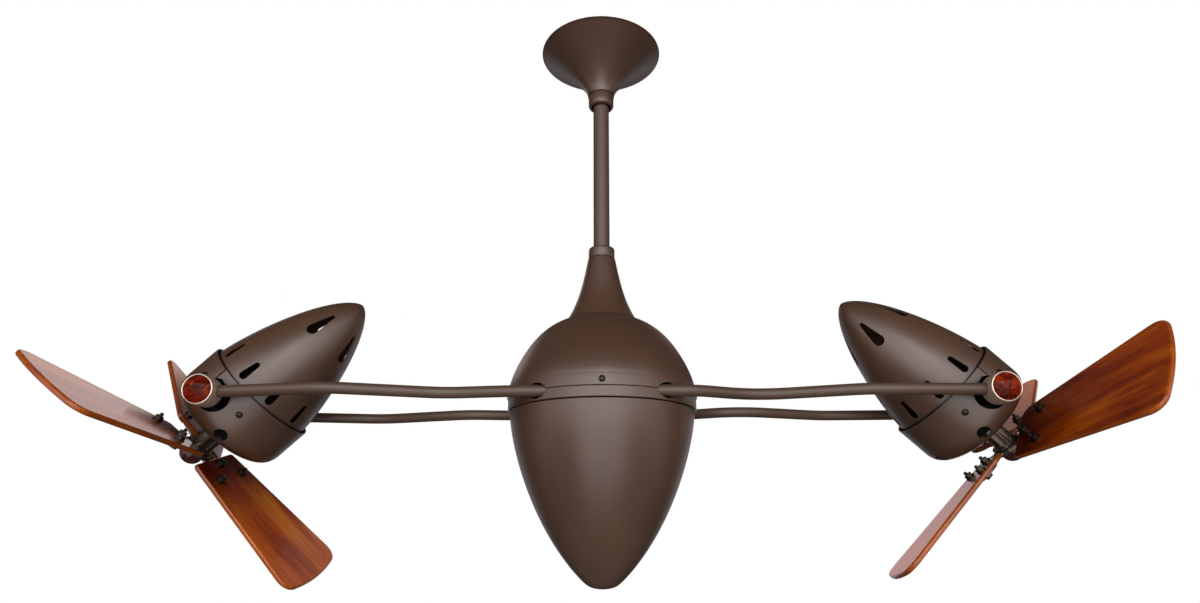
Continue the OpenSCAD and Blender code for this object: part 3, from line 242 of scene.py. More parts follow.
finishes = {
    "bronze": powderCoat("bronzePowderCoat", "#462f20", "#4f3726", 0.365, gloss=0.62),
    "tube": powderCoat("bronzeTubeCoat", "#493629", "#513e31", 0.45, peel=0.00004, gloss=0.45),
    # the barrels' pale taupe is partly their own colour and partly painted light, lifting them out of shade
    "barrel": powderCoat("litTaupeBarrelCoat", "#ab9180", "#b59a88", 0.4, peel=0.00004),
    "dark": brushedMetal("blackenedBronzeFastener", "#241c17", "#3d322a", 0.3, (300, 300, 300), 0.8),
    "hub": brushedMetal("brushedBronzeHub", "#53473d", "#5a4d43", 0.25, (160, 160, 30), 0.8),
    "wood": lacqueredMahogany("lacqueredMahogany"),
    "burl": polishedBurl("polishedBurl"),
    # pale cream metal rings round the caps
    "bezel": brushedMetal("paleCreamBezel", "#d8c2ac", "#f0dfcc", 0.32, (400, 400, 400), 0.7),
    # the castings inside the heads and body are near black, painted shade for the dark insides they sit in
    "casting": castSurface("shadeBlackDieCasting", "#0b0a09", "#141210", 0.7, 0.0, gloss=0.08),
    "zinc": brushedMetal("zincPlatedSteel", "#8f8f88", "#b3b3ac", 0.3, (400, 400, 400)),
    "steel": brushedMetal("groundSteel", "#9a9a9c", "#c2c2c4", 0.25, (300, 900, 900)),
    "copper": castSurface("enamelledCopperWinding", "#6e3a1c", "#9c5a30", 0.35, 0.9, 900.0),
    "plastic": castSurface("mouldedNylon", "#b9b4a4", "#cbc6b6", 0.5, 0.0, 700.0),
}
print("materials made:", len(finishes))


# mesh helpers

def newObject(name, data):
    thing = bpy.data.objects.new(name, data)
    scene.collection.objects.link(thing)
    return thing


def meshFrom(bm, name):
    mesh = bpy.data.meshes.new(name)
    bm.to_mesh(mesh)
    bm.free()
    return mesh


def lathe(profile, segments=128):
    # turns a closed outline of (radius, height) about Z; points on the axis become one vertex
    bm = bmesh.new()
    rings = []
    for r, z in profile:
        if r < 1e-4:
            rings.append([bm.verts.new((0, 0, z))])
        else:
            angles = [2 * math.pi * k / segments for k in range(segments)]
            rings.append([bm.verts.new((r * math.cos(a), r * math.sin(a), z)) for a in angles])
    for a, b in zip(rings, rings[1:] + rings[:1]):
        if len(a) == 1 and len(b) == 1:
            continue
        for k in range(segments):
            n = (k + 1) % segments
            corners = [a[k % len(a)], a[n % len(a)], b[n % len(b)], b[k % len(b)]]
            bm.faces.new(list(dict.fromkeys(corners)))
    bmesh.ops.recalc_face_normals(bm, faces=bm.faces)
    return meshFrom(bm, "lathe")


def prism(outline, low, high, rounding, steps):
    # a flat plate from an outline, with its upper and lower rims rounded over
    bm = bmesh.new()
    lower = [bm.verts.new((x, y, low)) for x, y in outline]
    upper = [bm.verts.new((x, y, high)) for x, y in outline]
    rims = [bm.faces.new(lower[::-1]), bm.faces.new(upper)]
    for k in range(len(outline)):
        n = (k + 1) % len(outline)
        bm.faces.new((lower[k], lower[n], upper[n], upper[k]))
    bmesh.ops.recalc_face_normals(bm, faces=bm.faces)
    edges = list({e for f in rims for e in f.edges})
    bmesh.ops.bevel(bm, geom=edges, offset=rounding, segments=steps, profile=0.5, affect="EDGES")
    return meshFrom(bm, "prism")


def joined(*meshes):
    bm = bmesh.new()
    for mesh in meshes:
        bm.from_mesh(mesh)
        bpy.data.meshes.remove(mesh)
    return meshFrom(bm, "joined")


def moved(mesh, matrix):
    mesh.transform(matrix)
    return mesh


def pointMesh(points, outward=None):
    mesh = bpy.data.meshes.new("points")
    mesh.from_pydata(points, [], [])
    if outward:
        mesh.attributes.new("outward", "FLOAT_VECTOR", "POINT").data.foreach_set(
            "vector", [c for v in outward for c in v])
    return mesh


def evaluatedMesh(thing):
    graph = bpy.context.evaluated_depsgraph_get()
    return bpy.data.meshes.new_from_object(thing.evaluated_get(graph), preserve_all_data_layers=True,
                                           depsgraph=graph)


def grow(mesh, *stages):
    # runs Geometry Nodes trees over a mesh and keeps the result as a plain mesh
    carrier = newObject("growing", mesh)
    for tree, sizes in stages:
        modifier = carrier.modifiers.new(tree.name, "NODES")
        modifier.node_group = tree
        for item in tree.interface.items_tree:
            if item.item_type == "SOCKET" and item.in_out == "INPUT" and item.name in sizes:
                modifier[item.identifier] = sizes[item.name]
    result = evaluatedMesh(carrier)
    bpy.data.objects.remove(carrier)
    return result


def settle(name, mesh, finish, body, nodes=(), place=None, sharpFrom=35, weighted=False):
    # puts a finished mesh on its body, in metres, with its place in the mesh
    mesh.transform(toMetres @ (place or Matrix.Identity(4)))
    mesh.name = name
    mesh.shade_smooth()
    mesh.set_sharp_from_angle(angle=math.radians(sharpFrom))
    mesh.materials.clear()
    mesh.materials.append(finishes[finish])
    piece = newObject(name, mesh)
    if weighted:
        piece.modifiers.new("evenNormals", "WEIGHTED_NORMAL").keep_sharp = True
        plain = evaluatedMesh(piece)
        piece.modifiers.clear()
        piece.data = plain
    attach(piece, body)
    if nodes:
        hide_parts(*nodes)


# Geometry Nodes trees

def newTree(name, inputs):
    # inputs: each input's name and default; whole numbers are counts, and None stands for a material
    tree = bpy.data.node_groups.new(name, "GeometryNodeTree")
    tree.is_modifier = True
    tree.interface.new_socket("Geometry", in_out="INPUT", socket_type="NodeSocketGeometry")
    for label, default in inputs.items():
        kind = "Material" if default is None else "Int" if isinstance(default, int) else "Float"
        socket = tree.interface.new_socket(label, in_out="INPUT", socket_type="NodeSocket" + kind)
        if default is not None:
            socket.default_value = default
    tree.interface.new_socket("Geometry", in_out="OUTPUT", socket_type="NodeSocketGeometry")
    return tree, addNode(tree, "NodeGroupInput", 0, 0).outputs


def endTree(tree, column, geometry, material):
    real = addNode(tree, "GeometryNodeRealizeInstances", column, 0, {"Geometry": geometry})
    dressed = addNode(tree, "GeometryNodeSetMaterial", column + 1, 0, {
        "Geometry": real, "Material": material})
    addNode(tree, "NodeGroupOutput", column + 2, 0, {0: dressed})
    return tree


def ringOf(tree, column, instance, count, first):
    # turns copies of an instance evenly about Z, the first one at an angle in radians
    points = addNode(tree, "GeometryNodePoints", column, 2, {"Count": count})
    index = addNode(tree, "GeometryNodeInputIndex", column, 3)
    step = arithmetic(tree, column, 4, "DIVIDE", 2 * math.pi, count)
    angle = arithmetic(tree, column + 1, 3, "MULTIPLY_ADD", index, step, first)
    euler = addNode(tree, "ShaderNodeCombineXYZ", column + 2, 3, {"Z": angle})
    rotation = addNode(tree, "FunctionNodeEulerToRotation", column + 3, 3, {0: euler})
    return addNode(tree, "GeometryNodeInstanceOnPoints", column + 4, 1, {
        "Points": points, "Instance": instance, "Rotation": rotation})


def makeVentRow():
    # cuts one even row of teardrop openings through a turned shell; equal radii make a round or straight slot
    tree, given = newTree("ventRow", {
        "Count": 10, "First Angle": 0.0, "Wide Place": 10.0, "Wide Radius": 4.0, "Narrow Place": 30.0,
        "Narrow Radius": 2.0, "Reach In": 0.0, "Reach Out": 80.0, "Material": None})
    near, far = given["Reach In"], given["Reach Out"]
    depth = arithmetic(tree, 1, 3, "SUBTRACT", far, near)
    twice = arithmetic(tree, 1, 4, "ADD", far, near)
    middle = arithmetic(tree, 2, 4, "MULTIPLY", twice, 0.5)
    both = addNode(tree, "GeometryNodeJoinGeometry", 5, 0)
    for row, word in enumerate(("Wide", "Narrow")):
        bar = addNode(tree, "GeometryNodeMeshCylinder", 3, row, {
            "Vertices": 28, "Radius": given[word + " Radius"], "Depth": depth})
        seat = addNode(tree, "ShaderNodeCombineXYZ", 3, row + 5, {"X": middle, "Z": given[word + " Place"]})
        end = addNode(tree, "GeometryNodeTransform", 4, row, {
            "Rotation": (0, math.pi / 2, 0), "Geometry": bar, "Translation": seat})
        tree.links.new(end.outputs[0], both.inputs[0])
    drop = addNode(tree, "GeometryNodeConvexHull", 6, 0, {0: both})
    cutters = ringOf(tree, 7, drop, given["Count"], given["First Angle"])
    solid = addNode(tree, "GeometryNodeRealizeInstances", 12, 1, {0: cutters})
    cut = addNode(tree, "GeometryNodeMeshBoolean", 13, 0, {
        "operation": "DIFFERENCE", "solver": "EXACT", "Mesh 1": given["Geometry"], "Mesh 2": solid})
    return endTree(tree, 14, cut, given["Material"])


def makeScrewSet():
    # a domed cross-recess screw at each point, driven along the point's outward direction
    tree, given = newTree("screwSet", {
        "Head Radius": 3.6, "Head Height": 2.2, "Shank Radius": 1.7, "Shank Length": 6.0, "Recess Width": 0.9,
        "Material": None})
    radius, height, recess = given["Head Radius"], given["Head Height"], given["Recess Width"]
    ball = addNode(tree, "GeometryNodeMeshUVSphere", 1, 0, {"Segments": 28, "Rings": 14, "Radius": 1.0})
    size = addNode(tree, "ShaderNodeCombineXYZ", 1, 1, {"X": radius, "Y": radius, "Z": height})
    domed = addNode(tree, "GeometryNodeTransform", 2, 0, {"Geometry": ball, "Scale": size})
    recessed = addNode(tree, "GeometryNodeMeshBoolean", 5, 0, {
        "operation": "DIFFERENCE", "solver": "EXACT", "Mesh 1": domed})
    lift = addNode(tree, "ShaderNodeCombineXYZ", 3, 4, {"Z": height})
    for row, (narrow, wide) in enumerate(("XY", "YX"), 2):
        bar = addNode(tree, "ShaderNodeCombineXYZ", 2, row, {narrow: recess, wide: radius, "Z": height})
        box = addNode(tree, "GeometryNodeMeshCube", 3, row, {"Size": bar})
        raised = addNode(tree, "GeometryNodeTransform", 4, row, {"Geometry": box, "Translation": lift})
        tree.links.new(raised.outputs[0], recessed.inputs["Mesh 2"])
    shank = addNode(tree, "GeometryNodeMeshCylinder", 3, 5, {
        "Vertices": 16, "Radius": given["Shank Radius"], "Depth": given["Shank Length"]})
    down = arithmetic(tree, 3, 6, "MULTIPLY", given["Shank Length"], -0.5)
    sink = addNode(tree, "ShaderNodeCombineXYZ", 4, 6, {"Z": down})
    sunk = addNode(tree, "GeometryNodeTransform", 5, 5, {"Geometry": shank, "Translation": sink})
    screw = addNode(tree, "GeometryNodeJoinGeometry", 6, 0, {0: recessed})
    tree.links.new(sunk.outputs[0], screw.inputs[0])
    way = addNode(tree, "GeometryNodeInputNamedAttribute", 6, 3, {
        "data_type": "FLOAT_VECTOR", "Name": "outward"})
    aim = addNode(tree, "FunctionNodeAlignRotationToVector", 7, 3, {
        "axis": "Z", "Vector": way.outputs["Attribute"]})
    placed = addNode(tree, "GeometryNodeInstanceOnPoints", 8, 0, {
        "Points": given["Geometry"], "Instance": screw, "Rotation": aim})
    return endTree(tree, 9, placed, given["Material"])


def makeStudSet():
    # washer, hex nut and pointed stud end at each point of one blade, then the same set on every blade
    tree, given = newTree("bladeStudSet", {
        "Washer Radius": 5.4, "Washer Height": 1.2, "Nut Radius": 4.6, "Nut Height": 3.2, "Stud Radius": 2.0,
        "Stud End": 8.4, "Point Height": 1.0, "Under Side": -10.5, "Cap Radius": 4.0, "Cap Height": 2.6,
        "Blades": 3, "First Angle": 0.0, "Pitch": 0.2, "Cone": 0.03, "Material": None})
    parts = addNode(tree, "GeometryNodeJoinGeometry", 5, 0)

    def upright(row, radius, height, base, sides, taper=None):
        # a bar on a base height, or on the blade's own face where that is None; a taper makes it a cone
        if taper is None:
            body = addNode(tree, "GeometryNodeMeshCylinder", 2, row, {
                "Vertices": sides, "Radius": radius, "Depth": height})
            lift = arithmetic(tree, 2, row + 0.5, "MULTIPLY", height, 0.5)
            if base is not None:
                lift = arithmetic(tree, 3, row + 0.5, "ADD", lift, base)
        else:
            thin = arithmetic(tree, 1, row, "MULTIPLY", radius, taper)
            body = addNode(tree, "GeometryNodeMeshCone", 2, row, {
                "Vertices": sides, "Radius Bottom": radius, "Radius Top": thin, "Depth": height})
            lift = base
        raised = addNode(tree, "ShaderNodeCombineXYZ", 3, row, {"Z": lift})
        done = addNode(tree, "GeometryNodeTransform", 4, row, {"Geometry": body, "Translation": raised})
        tree.links.new(done.outputs[0], parts.inputs[0])

    nut, under, studEnd, point = (given[k] for k in ("Nut Height", "Under Side", "Stud End", "Point Height"))
    upright(0, given["Washer Radius"], given["Washer Height"], None, 32)
    upright(1, given["Nut Radius"], nut, given["Washer Height"], 6)
    nutTop = arithmetic(tree, 1, 2, "ADD", given["Washer Height"], nut)
    chamfer = arithmetic(tree, 1, 3, "MULTIPLY", nut, 0.14)
    upright(2, given["Nut Radius"], chamfer, nutTop, 6, 0.84)
    studLong = arithmetic(tree, 1, 4, "SUBTRACT", studEnd, under)
    bare = arithmetic(tree, 1, 5, "SUBTRACT", studLong, point)
    upright(3, given["Stud Radius"], bare, under, 20)
    pointFrom = arithmetic(tree, 1, 6, "SUBTRACT", studEnd, point)
    upright(4, given["Stud Radius"], point, pointFrom, 20, 0.55)
    capFrom = arithmetic(tree, 1, 8, "SUBTRACT", under, given["Cap Height"])
    upright(5, given["Cap Radius"], given["Cap Height"], capFrom, 24)
    oneBlade = addNode(tree, "GeometryNodeInstanceOnPoints", 6, 0, {
        "Points": given["Geometry"], "Instance": parts})
    for column, axis, word in ((7, "X", "Pitch"), (8, "Y", "Cone")):
        angle = addNode(tree, "ShaderNodeCombineXYZ", column - 1, 2, {axis: given[word]})
        oneBlade = addNode(tree, "GeometryNodeTransform", column, 0, {
            "Geometry": oneBlade, "Rotation": angle})
    every = ringOf(tree, 9, oneBlade, given["Blades"], given["First Angle"])
    return endTree(tree, 14, every, given["Material"])


def makeBentArm():
    # a round tube along a polyline with round bends of one radius
    tree, given = newTree("bentArm", {
        "Bend Radius": 90.0, "Tube Radius": 6.1, "Bend Steps": 20, "Sides": 40, "Material": None})
    line = addNode(tree, "GeometryNodeMeshToCurve", 1, 0, {0: given["Geometry"]})
    bends = addNode(tree, "GeometryNodeFilletCurve", 2, 0, {
        "mode": "POLY", "Limit Radius": True, "Curve": line, "Radius": given["Bend Radius"],
        "Count": given["Bend Steps"]})
    rim = addNode(tree, "GeometryNodeCurvePrimitiveCircle", 2, 2, {
        "Resolution": given["Sides"], "Radius": given["Tube Radius"]})
    tube = addNode(tree, "GeometryNodeCurveToMesh", 3, 0, {
        "Fill Caps": True, "Curve": bends, "Profile Curve": rim})
    return endTree(tree, 4, tube, given["Material"])


def makeLobedHub():
    # barrels set round an axis, standing on a flange, with a core between them
    tree, given = newTree("lobedHub", {
        "Lobes": 3, "Lobe Radius": 6.65, "Lobe Place": 5.85, "Lobe Height": 26.4, "Core Radius": 9.5,
        "Core Depth": 4.0, "Flange Radius": 15.0, "Flange Height": 3.0, "First Angle": 0.0, "Material": None})

    def standing(row, sides, radius, height, middle):
        # a bar moved to its middle
        bar = addNode(tree, "GeometryNodeMeshCylinder", 5, row, {
            "Vertices": sides, "Radius": radius, "Depth": height})
        seat = addNode(tree, "ShaderNodeCombineXYZ", 6, row, middle)
        return addNode(tree, "GeometryNodeTransform", 7, row, {"Geometry": bar, "Translation": seat})

    lobeHigh, flangeHigh, deep = given["Lobe Height"], given["Flange Height"], given["Core Depth"]
    half = arithmetic(tree, 1, 1, "MULTIPLY", lobeHigh, 0.5)
    lobe = standing(0, 40, given["Lobe Radius"], lobeHigh, {"X": given["Lobe Place"], "Z": half})
    lobes = ringOf(tree, 8, lobe, given["Lobes"], given["First Angle"])
    low = arithmetic(tree, 4, 5, "MULTIPLY", flangeHigh, -0.5)
    flange = standing(5, 64, given["Flange Radius"], flangeHigh, {"Z": low})
    coreTop = arithmetic(tree, 2, 7, "ADD", lobeHigh, -0.5)
    coreHigh = arithmetic(tree, 3, 7, "ADD", coreTop, deep)
    coreOver = arithmetic(tree, 3, 8, "SUBTRACT", coreTop, deep)
    coreLift = arithmetic(tree, 4, 8, "MULTIPLY", coreOver, 0.5)
    core = standing(7, 48, given["Core Radius"], coreHigh, {"Z": coreLift})
    real = addNode(tree, "GeometryNodeRealizeInstances", 13, 1, {0: lobes})
    solids = addNode(tree, "GeometryNodeMeshBoolean", 14, 0, {"operation": "UNION", "solver": "EXACT"})
    for part in (real, flange, core):
        tree.links.new(part.outputs[0], solids.inputs["Mesh 2"])
    return endTree(tree, 15, solids, given["Material"])


ventRow = makeVentRow()
screwSet = makeScrewSet()
bladeStudSet = makeStudSet()
bentArm = makeBentArm()
lobedHub = makeLobedHub()
print("node trees made:", len(bpy.data.node_groups))


# canopy, downrod and neck

canopy = {"width": 146, "height": 57, "foot": 32.4, "flare": 1.35, "footFlare": 0.3, "wall": 1.2,
          "hole": 10.2, "steps": 48}


def canopyRadius(z):
    up = (canopy["height"] + z) / canopy["height"]
    spread = up ** (canopy["flare"] + canopy["footFlare"] * (1 - up))
    return canopy["foot"] / 2 + (canopy["width"] - canopy["foot"]) / 2 * spread


steps, wall, rimRadius = canopy["steps"], canopy["wall"], canopy["width"] / 2
outside = [(canopyRadius(z), z) for z in (-canopy["height"] * (1 - i / steps) for i in range(steps + 1))]
outside[-1:] = [(rimRadius, -0.8), (rimRadius - 0.2, -0.2), (rimRadius - 0.7, 0)]
inside = [(canopyRadius(z) - wall, z)
          for z in (-(canopy["height"] - wall) * i / steps for i in range(1, steps + 1))]
footRing = [(canopy["hole"], wall - canopy["height"]), (canopy["hole"], -canopy["height"])]
settle("canopyShell", lathe(outside + inside + footRing, 160), "bronze", "fixed", ["canopy"])

collar = {"radius": 15.3, "height": 16, "step": 0.6, "bore": 9.6}
r, h, step = collar["radius"], collar["height"], collar["step"]
canopyCollarOutline = [
    (collar["bore"], 0), (r - step, 0), (r - step, -0.5), (r - 0.2, -0.6), (r, -0.9), (r, 3 - h),
    (r - 0.15, 2.3 - h), (r - 0.5, 1.6 - h), (r - 1.0, 1.0 - h), (r - 1.6, 0.5 - h), (r - 2.3, 0.15 - h),
    (r - 3, -h), (r - 3.4, 0.1 - h), (r - 3.6, 0.4 - h), (r - 3.6, -5), (collar["bore"], -5)]
settle("canopyCollarRing", lathe(canopyCollarOutline, 96), "bronze", "fixed", ["canopy_collar"],
       shift(0, 0, -canopy["height"]))

rod = {"radius": 9.525, "wall": 2, "top": -8, "length": 304.8}
r, bore, rodEnd = rod["radius"], rod["radius"] - rod["wall"], rod["top"] - rod["length"]
rodOutline = [(r, rodEnd), (r, rod["top"] - 0.4), (r - 0.4, rod["top"]), (bore, rod["top"]), (bore, rodEnd)]
settle("downrodTube", lathe(rodOutline, 96), "tube", "fixed", ["downrod"])

neck = {"top": -271, "topWidth": 31.8, "footWidth": 82, "wall": 1.5, "hole": 10.2, "straight": 0.6,
        "curl": 3.3, "gap": 0.25, "collarRadius": 15.2, "collarHeight": 13.1, "collarBore": 9.6, "steps": 40}
dome = {"radius": 104, "height": 98, "foot": -429, "hole": 30, "power": 1.38, "pressed": 11.5,
        "pressedTo": 80, "wall": 1.6, "steps": 56}


def domeHeight(r):
    # an arch that is pressed a little flatter under the neck cover
    arch = dome["height"] * (1 - (r / dome["radius"]) ** 2) ** (1 / dome["power"])
    return dome["foot"] + arch - dome["pressed"] * max(0.0, 1 - (r / dome["pressedTo"]) ** 2) ** 2


neckFoot = domeHeight(neck["footWidth"] / 2) + neck["gap"]
neckInnerFoot = domeHeight(neck["footWidth"] / 2 - neck["wall"]) + neck["gap"]


def neckRadius(z):
    t = (neck["top"] - z) / (neck["top"] - neckFoot)
    spread = neck["straight"] * t + (1 - neck["straight"]) * t ** neck["curl"]
    return neck["topWidth"] / 2 + (neck["footWidth"] - neck["topWidth"]) / 2 * spread


steps, top, wall = neck["steps"], neck["top"], neck["wall"]
outside = [(neckRadius(z), z) for z in (neckFoot + (top - neckFoot) * i / steps for i in range(steps + 1))]
outside[-1:] = [(neck["topWidth"] / 2, top - 0.5), (neck["topWidth"] / 2 - 0.4, top)]
inside = [(neckRadius(z) - wall, z)
          for z in (top - wall - (top - wall - neckInnerFoot) * i / steps for i in range(steps + 1))]
neckHole = [(neck["hole"], top), (neck["hole"], top - wall)]
settle("neckCoverCone", lathe(outside + neckHole + inside, 144), "bronze", "fixed", ["neck_cover"])

r, h, bore = neck["collarRadius"], neck["collarHeight"], neck["collarBore"]
neckCollarOutline = [
    (bore, 0), (r - 0.8, 0), (r - 0.8, 0.4), (r - 0.2, 0.5), (r, 0.8), (r, h - 2.0), (r - 0.15, h - 1.4),
    (r - 0.5, h - 0.8), (r - 1.1, h - 0.3), (r - 1.9, h), (bore, h)]
settle("neckCollarRing", lathe(neckCollarOutline, 96), "bronze", "fixed", ["neck_collar"], shift(0, 0, top))
print("hanging parts made")


# centre body

pivot = {"x": 403, "z": -443.4, "up": 2.5}
armHoles = {"Count": 1, "Reach In": -130.0, "Reach Out": 130.0, "Wide Radius": 8.5, "Narrow Radius": 8.5,
            "Wide Place": 0.0, "Narrow Place": 0.0, "Material": finishes["bronze"], "beside": 80}
belt = {"radius": 105, "inner": 101, "top": -442.5, "bottom": -453.5, "round": 0.4, "skirtLow": -442.0,
        "skirtInner": 103.4}
bowl = {"radius": 105, "height": 189, "top": -454.5, "wall": 1.6, "rim": 103.2, "steps": 72, "fullness": 1.04,
        "flankEnd": 1.058, "flankCurve": 1.95, "flankPower": 0.904, "nose": 1.16, "blend": 6}


def cutArmHoles(mesh):
    # the arms pass through at the level of the pivots, beside the middle
    for side in (-armHoles["beside"], armHoles["beside"]):
        mesh.transform(shift(0, -side, -pivot["z"]))
        mesh = grow(mesh, (ventRow, armHoles))
        mesh.transform(shift(0, side, pivot["z"]))
    return mesh


steps, r, hole, foot, wall = dome["steps"], dome["radius"], dome["hole"], dome["foot"], dome["wall"]
lastAngle = math.acos(hole / r)
arc = [r * math.cos(lastAngle * i / steps) for i in range(steps + 1)]
outside = [(x, domeHeight(x)) for x in arc]
inside = [(max(x - wall, hole), domeHeight(max(x, hole + 1)) - wall * (1 - (x / r) ** 2)) for x in arc[::-1]]
r, skirtLow = belt["radius"], belt["skirtLow"]
skirt = [(belt["skirtInner"], skirtLow), (r - 0.3, skirtLow), (r, skirtLow + 0.3), (r, foot - 0.5),
         (r - 0.15, foot - 0.12), (r - 0.5, foot)]
domeMesh = lathe(skirt + outside + inside + [(belt["skirtInner"], foot - 1)], 192)
settle("upperDome", cutArmHoles(domeMesh), "bronze", "carousel", ["dome"], sharpFrom=30)

inner, low, high, corner = belt["inner"], belt["bottom"], belt["top"], belt["round"]
beltMesh = lathe([(inner, low), (r - corner, low), (r, low + corner), (r, high - corner), (r - corner, high),
                  (inner, high)], 192)
settle("beltBand", cutArmHoles(beltMesh), "bronze", "carousel", ["belt_ring"], sharpFrom=30)


def bowlRadius(u, r):
    # nearly straight flanks, rounded off into a blunt nose
    flank = max(1e-6, 1 - (u / bowl["flankEnd"]) ** bowl["flankCurve"]) ** bowl["flankPower"]
    nose = max(1e-6, bowl["nose"] * math.sqrt(max(0.0, 1 - u)))
    return bowl["fullness"] * r * (flank ** -bowl["blend"] + nose ** -bowl["blend"]) ** (-1 / bowl["blend"])


def towardTip(i, n):
    # steps that grow shorter toward the tip
    return 1 - (1 - i / n) ** 2


def bowlSide(r, height, places):
    return [(bowlRadius(towardTip(i, bowl["steps"]), r), bowl["top"] - height * towardTip(i, bowl["steps"]))
            for i in places]


innerRadius, innerHeight = bowl["radius"] - bowl["wall"], bowl["height"] - bowl["wall"]
outside = bowlSide(bowl["radius"], bowl["height"], range(bowl["steps"] + 1))
outside[:1] = [(bowl["rim"] - 0.3, bowl["top"]), (bowl["rim"], bowl["top"] - 0.35)]
outside[-1] = (0, bowl["top"] - bowl["height"])
inside = bowlSide(innerRadius, innerHeight, range(bowl["steps"], 0, -1))
inside[0] = (0, bowl["top"] - innerHeight)
bowlLedge = [(belt["inner"], bowl["top"] - 3), (belt["inner"], bowl["top"])]
settle("lowerBowl", lathe(outside + inside + bowlLedge, 192), "bronze", "carousel", ["bowl"])

beltScrews = {"Head Radius": 3.5, "Head Height": 2.1, "Shank Radius": 1.7, "Shank Length": 7.0,
              "Recess Width": 0.8, "Material": finishes["dark"], "out": 104.9, "height": -436,
              "around": (0, 90, 180, 270)}


def screwsAround(sizes):
    # screws at the angles, distance and height that their sizes give, driven straight inwards
    angles = [math.radians(a) for a in sizes["around"]]
    places = [(sizes["out"] * math.cos(a), sizes["out"] * math.sin(a), sizes["height"]) for a in angles]
    return grow(pointMesh(places, [(math.cos(a), math.sin(a), 0) for a in angles]), (screwSet, sizes))


settle("beltScrewSet", screwsAround(beltScrews), "dark", "carousel", ["belt_screws"])
print("centre body made")


# arms, barrels and caps

arms = {
    "left": [(12, 80), (85, 80), (163, 70), (274, 102), (393.5, 82)],
    "right": [(12, 80), (95, 80), (162, 52), (269, 86), (393.5, 82)],
}
armSizes = {"Bend Radius": 90.0, "Tube Radius": 6.1, "Bend Steps": 20, "Sides": 40,
            "Material": finishes["tube"]}
tubes = []
for side, route in arms.items():
    direction = -1 if side == "left" else 1
    for depth in (-1, 1):
        line = bpy.data.meshes.new("route")
        line.from_pydata([(direction * x, depth * y, pivot["z"]) for x, y in route],
                         [(i, i + 1) for i in range(len(route) - 1)], [])
        tubes.append(grow(line, (bentArm, armSizes)))
settle("armTubes", joined(*tubes), "tube", "carousel",
       ["arm_left_front", "arm_left_rear", "arm_right_front", "arm_right_rear"])

barrel = {"radius": 15.5, "inner": 75.2, "outer": 95, "recess": 6, "recessRadius": 13, "bore": 4}
r, bore, near, far = barrel["radius"], barrel["bore"], barrel["inner"], barrel["outer"]
recessRadius, floorAt = barrel["recessRadius"], barrel["outer"] - barrel["recess"]
barrelOutline = [
    (bore, near), (r - 0.9, near), (r - 0.3, near + 0.25), (r, near + 0.9), (r, far - 0.2), (r - 0.2, far),
    (recessRadius, far), (recessRadius, floorAt), (bore, floorAt)]
cap = {"radius": 14.1, "rise": 6.0, "crown": 5.4, "plug": 12.9, "plugDepth": 1.5, "steps": 16}
crownRadius = (cap["radius"] ** 2 + cap["crown"] ** 2) / (2 * cap["crown"])
crownHalf = math.asin(cap["radius"] / crownRadius)
crownAngles = [crownHalf * (1 - i / cap["steps"]) for i in range(cap["steps"])]
capOutline = [(0, far - cap["plugDepth"]), (cap["plug"], far - cap["plugDepth"]), (cap["plug"], far),
              (cap["radius"], far)]
capOutline += [(crownRadius * math.sin(a), far + cap["rise"] - crownRadius * (1 - math.cos(a)))
               for a in crownAngles] + [(0, far + cap["rise"])]
bezelOutline = [(14.2, far), (15.5, far), (15.5, far + 1.1), (15.3, far + 1.5), (15.0, far + 1.75),
                (14.7, far + 1.8), (14.35, far + 1.6), (14.2, far + 1.2)]


def atPivots(outline, segments):
    # a turned piece at each end of both pivots, with its axis along Y: the left pair and the right pair
    return [[moved(lathe(outline, segments), shift(side * pivot["x"], 0, pivot["z"]) @ turn("X", -90 * depth))
             for depth in (-1, 1)] for side in (-1, 1)]


leftBarrels, rightBarrels = atPivots(barrelOutline, 72)
settle("leftPivotBarrels", joined(*leftBarrels), "barrel", "carousel", ["left_sockets"])
settle("rightPivotBarrels", joined(*rightBarrels), "barrel", "carousel", ["right_sockets"])
settle("burlCaps", joined(*sum(atPivots(capOutline, 64), [])), "burl", "carousel", ["pivot_caps"])
settle("capBezels", joined(*sum(atPivots(bezelOutline, 72), [])), "bezel", "carousel", ["cap_bezels"])
print("arms and barrels made")


# heads

head = {"tilt": 43.6, "seamAhead": 23.0, "rearRadius": 61.5, "rearLength": 149, "rearCurve": 1.35,
        "rearPower": 0.62, "rearSteps": 64, "wall": 1.6, "frontRadius": 65.3, "frontStraight": 30,
        "frontRound": 36, "frontCurve": 3.4, "frontPower": 0.55, "frontSteps": 40, "lap": 2.5, "mouth": 20,
        "taper": 0.3, "pivotHole": 18.0, "slot": 28, "tongueGap": 1.4, "spigot": 8,
        "seamShadowWidth": 1.2, "seamShadowFade": 0.5, "shellSides": 176}
shellCut = {"Material": finishes["bronze"], "First Angle": 0.0, "Reach In": 20.0, "Reach Out": 90.0}
smallVents = dict(shellCut, **{
    "Count": 10, "Wide Place": 11.2, "Wide Radius": 4.4, "Narrow Place": 27.5, "Narrow Radius": 3.1})
largeVents = dict(shellCut, **{
    "Count": 5, "Wide Place": 93.0, "Wide Radius": 6.0, "Narrow Place": 117.0, "Narrow Radius": 2.2,
    "Reach In": 5.0})
roundHoles = dict(shellCut, **{
    "Count": 6, "Wide Place": -47.0, "Narrow Place": -47.0, "Wide Radius": 7.2, "Narrow Radius": 7.2,
    "First Angle": math.radians(30)})
pivotHoles = dict(shellCut, **{
    "Count": 2, "Wide Place": -head["seamAhead"], "Narrow Place": -head["seamAhead"],
    "Wide Radius": head["pivotHole"], "Narrow Radius": head["pivotHole"], "Reach In": 30.0})
pivotSlots = dict(shellCut, **{
    "Count": 2, "Wide Place": -head["seamAhead"], "Narrow Place": 20.0,
    "Wide Radius": head["slot"] / 2, "Narrow Radius": head["slot"] / 2, "Reach In": 30.0})
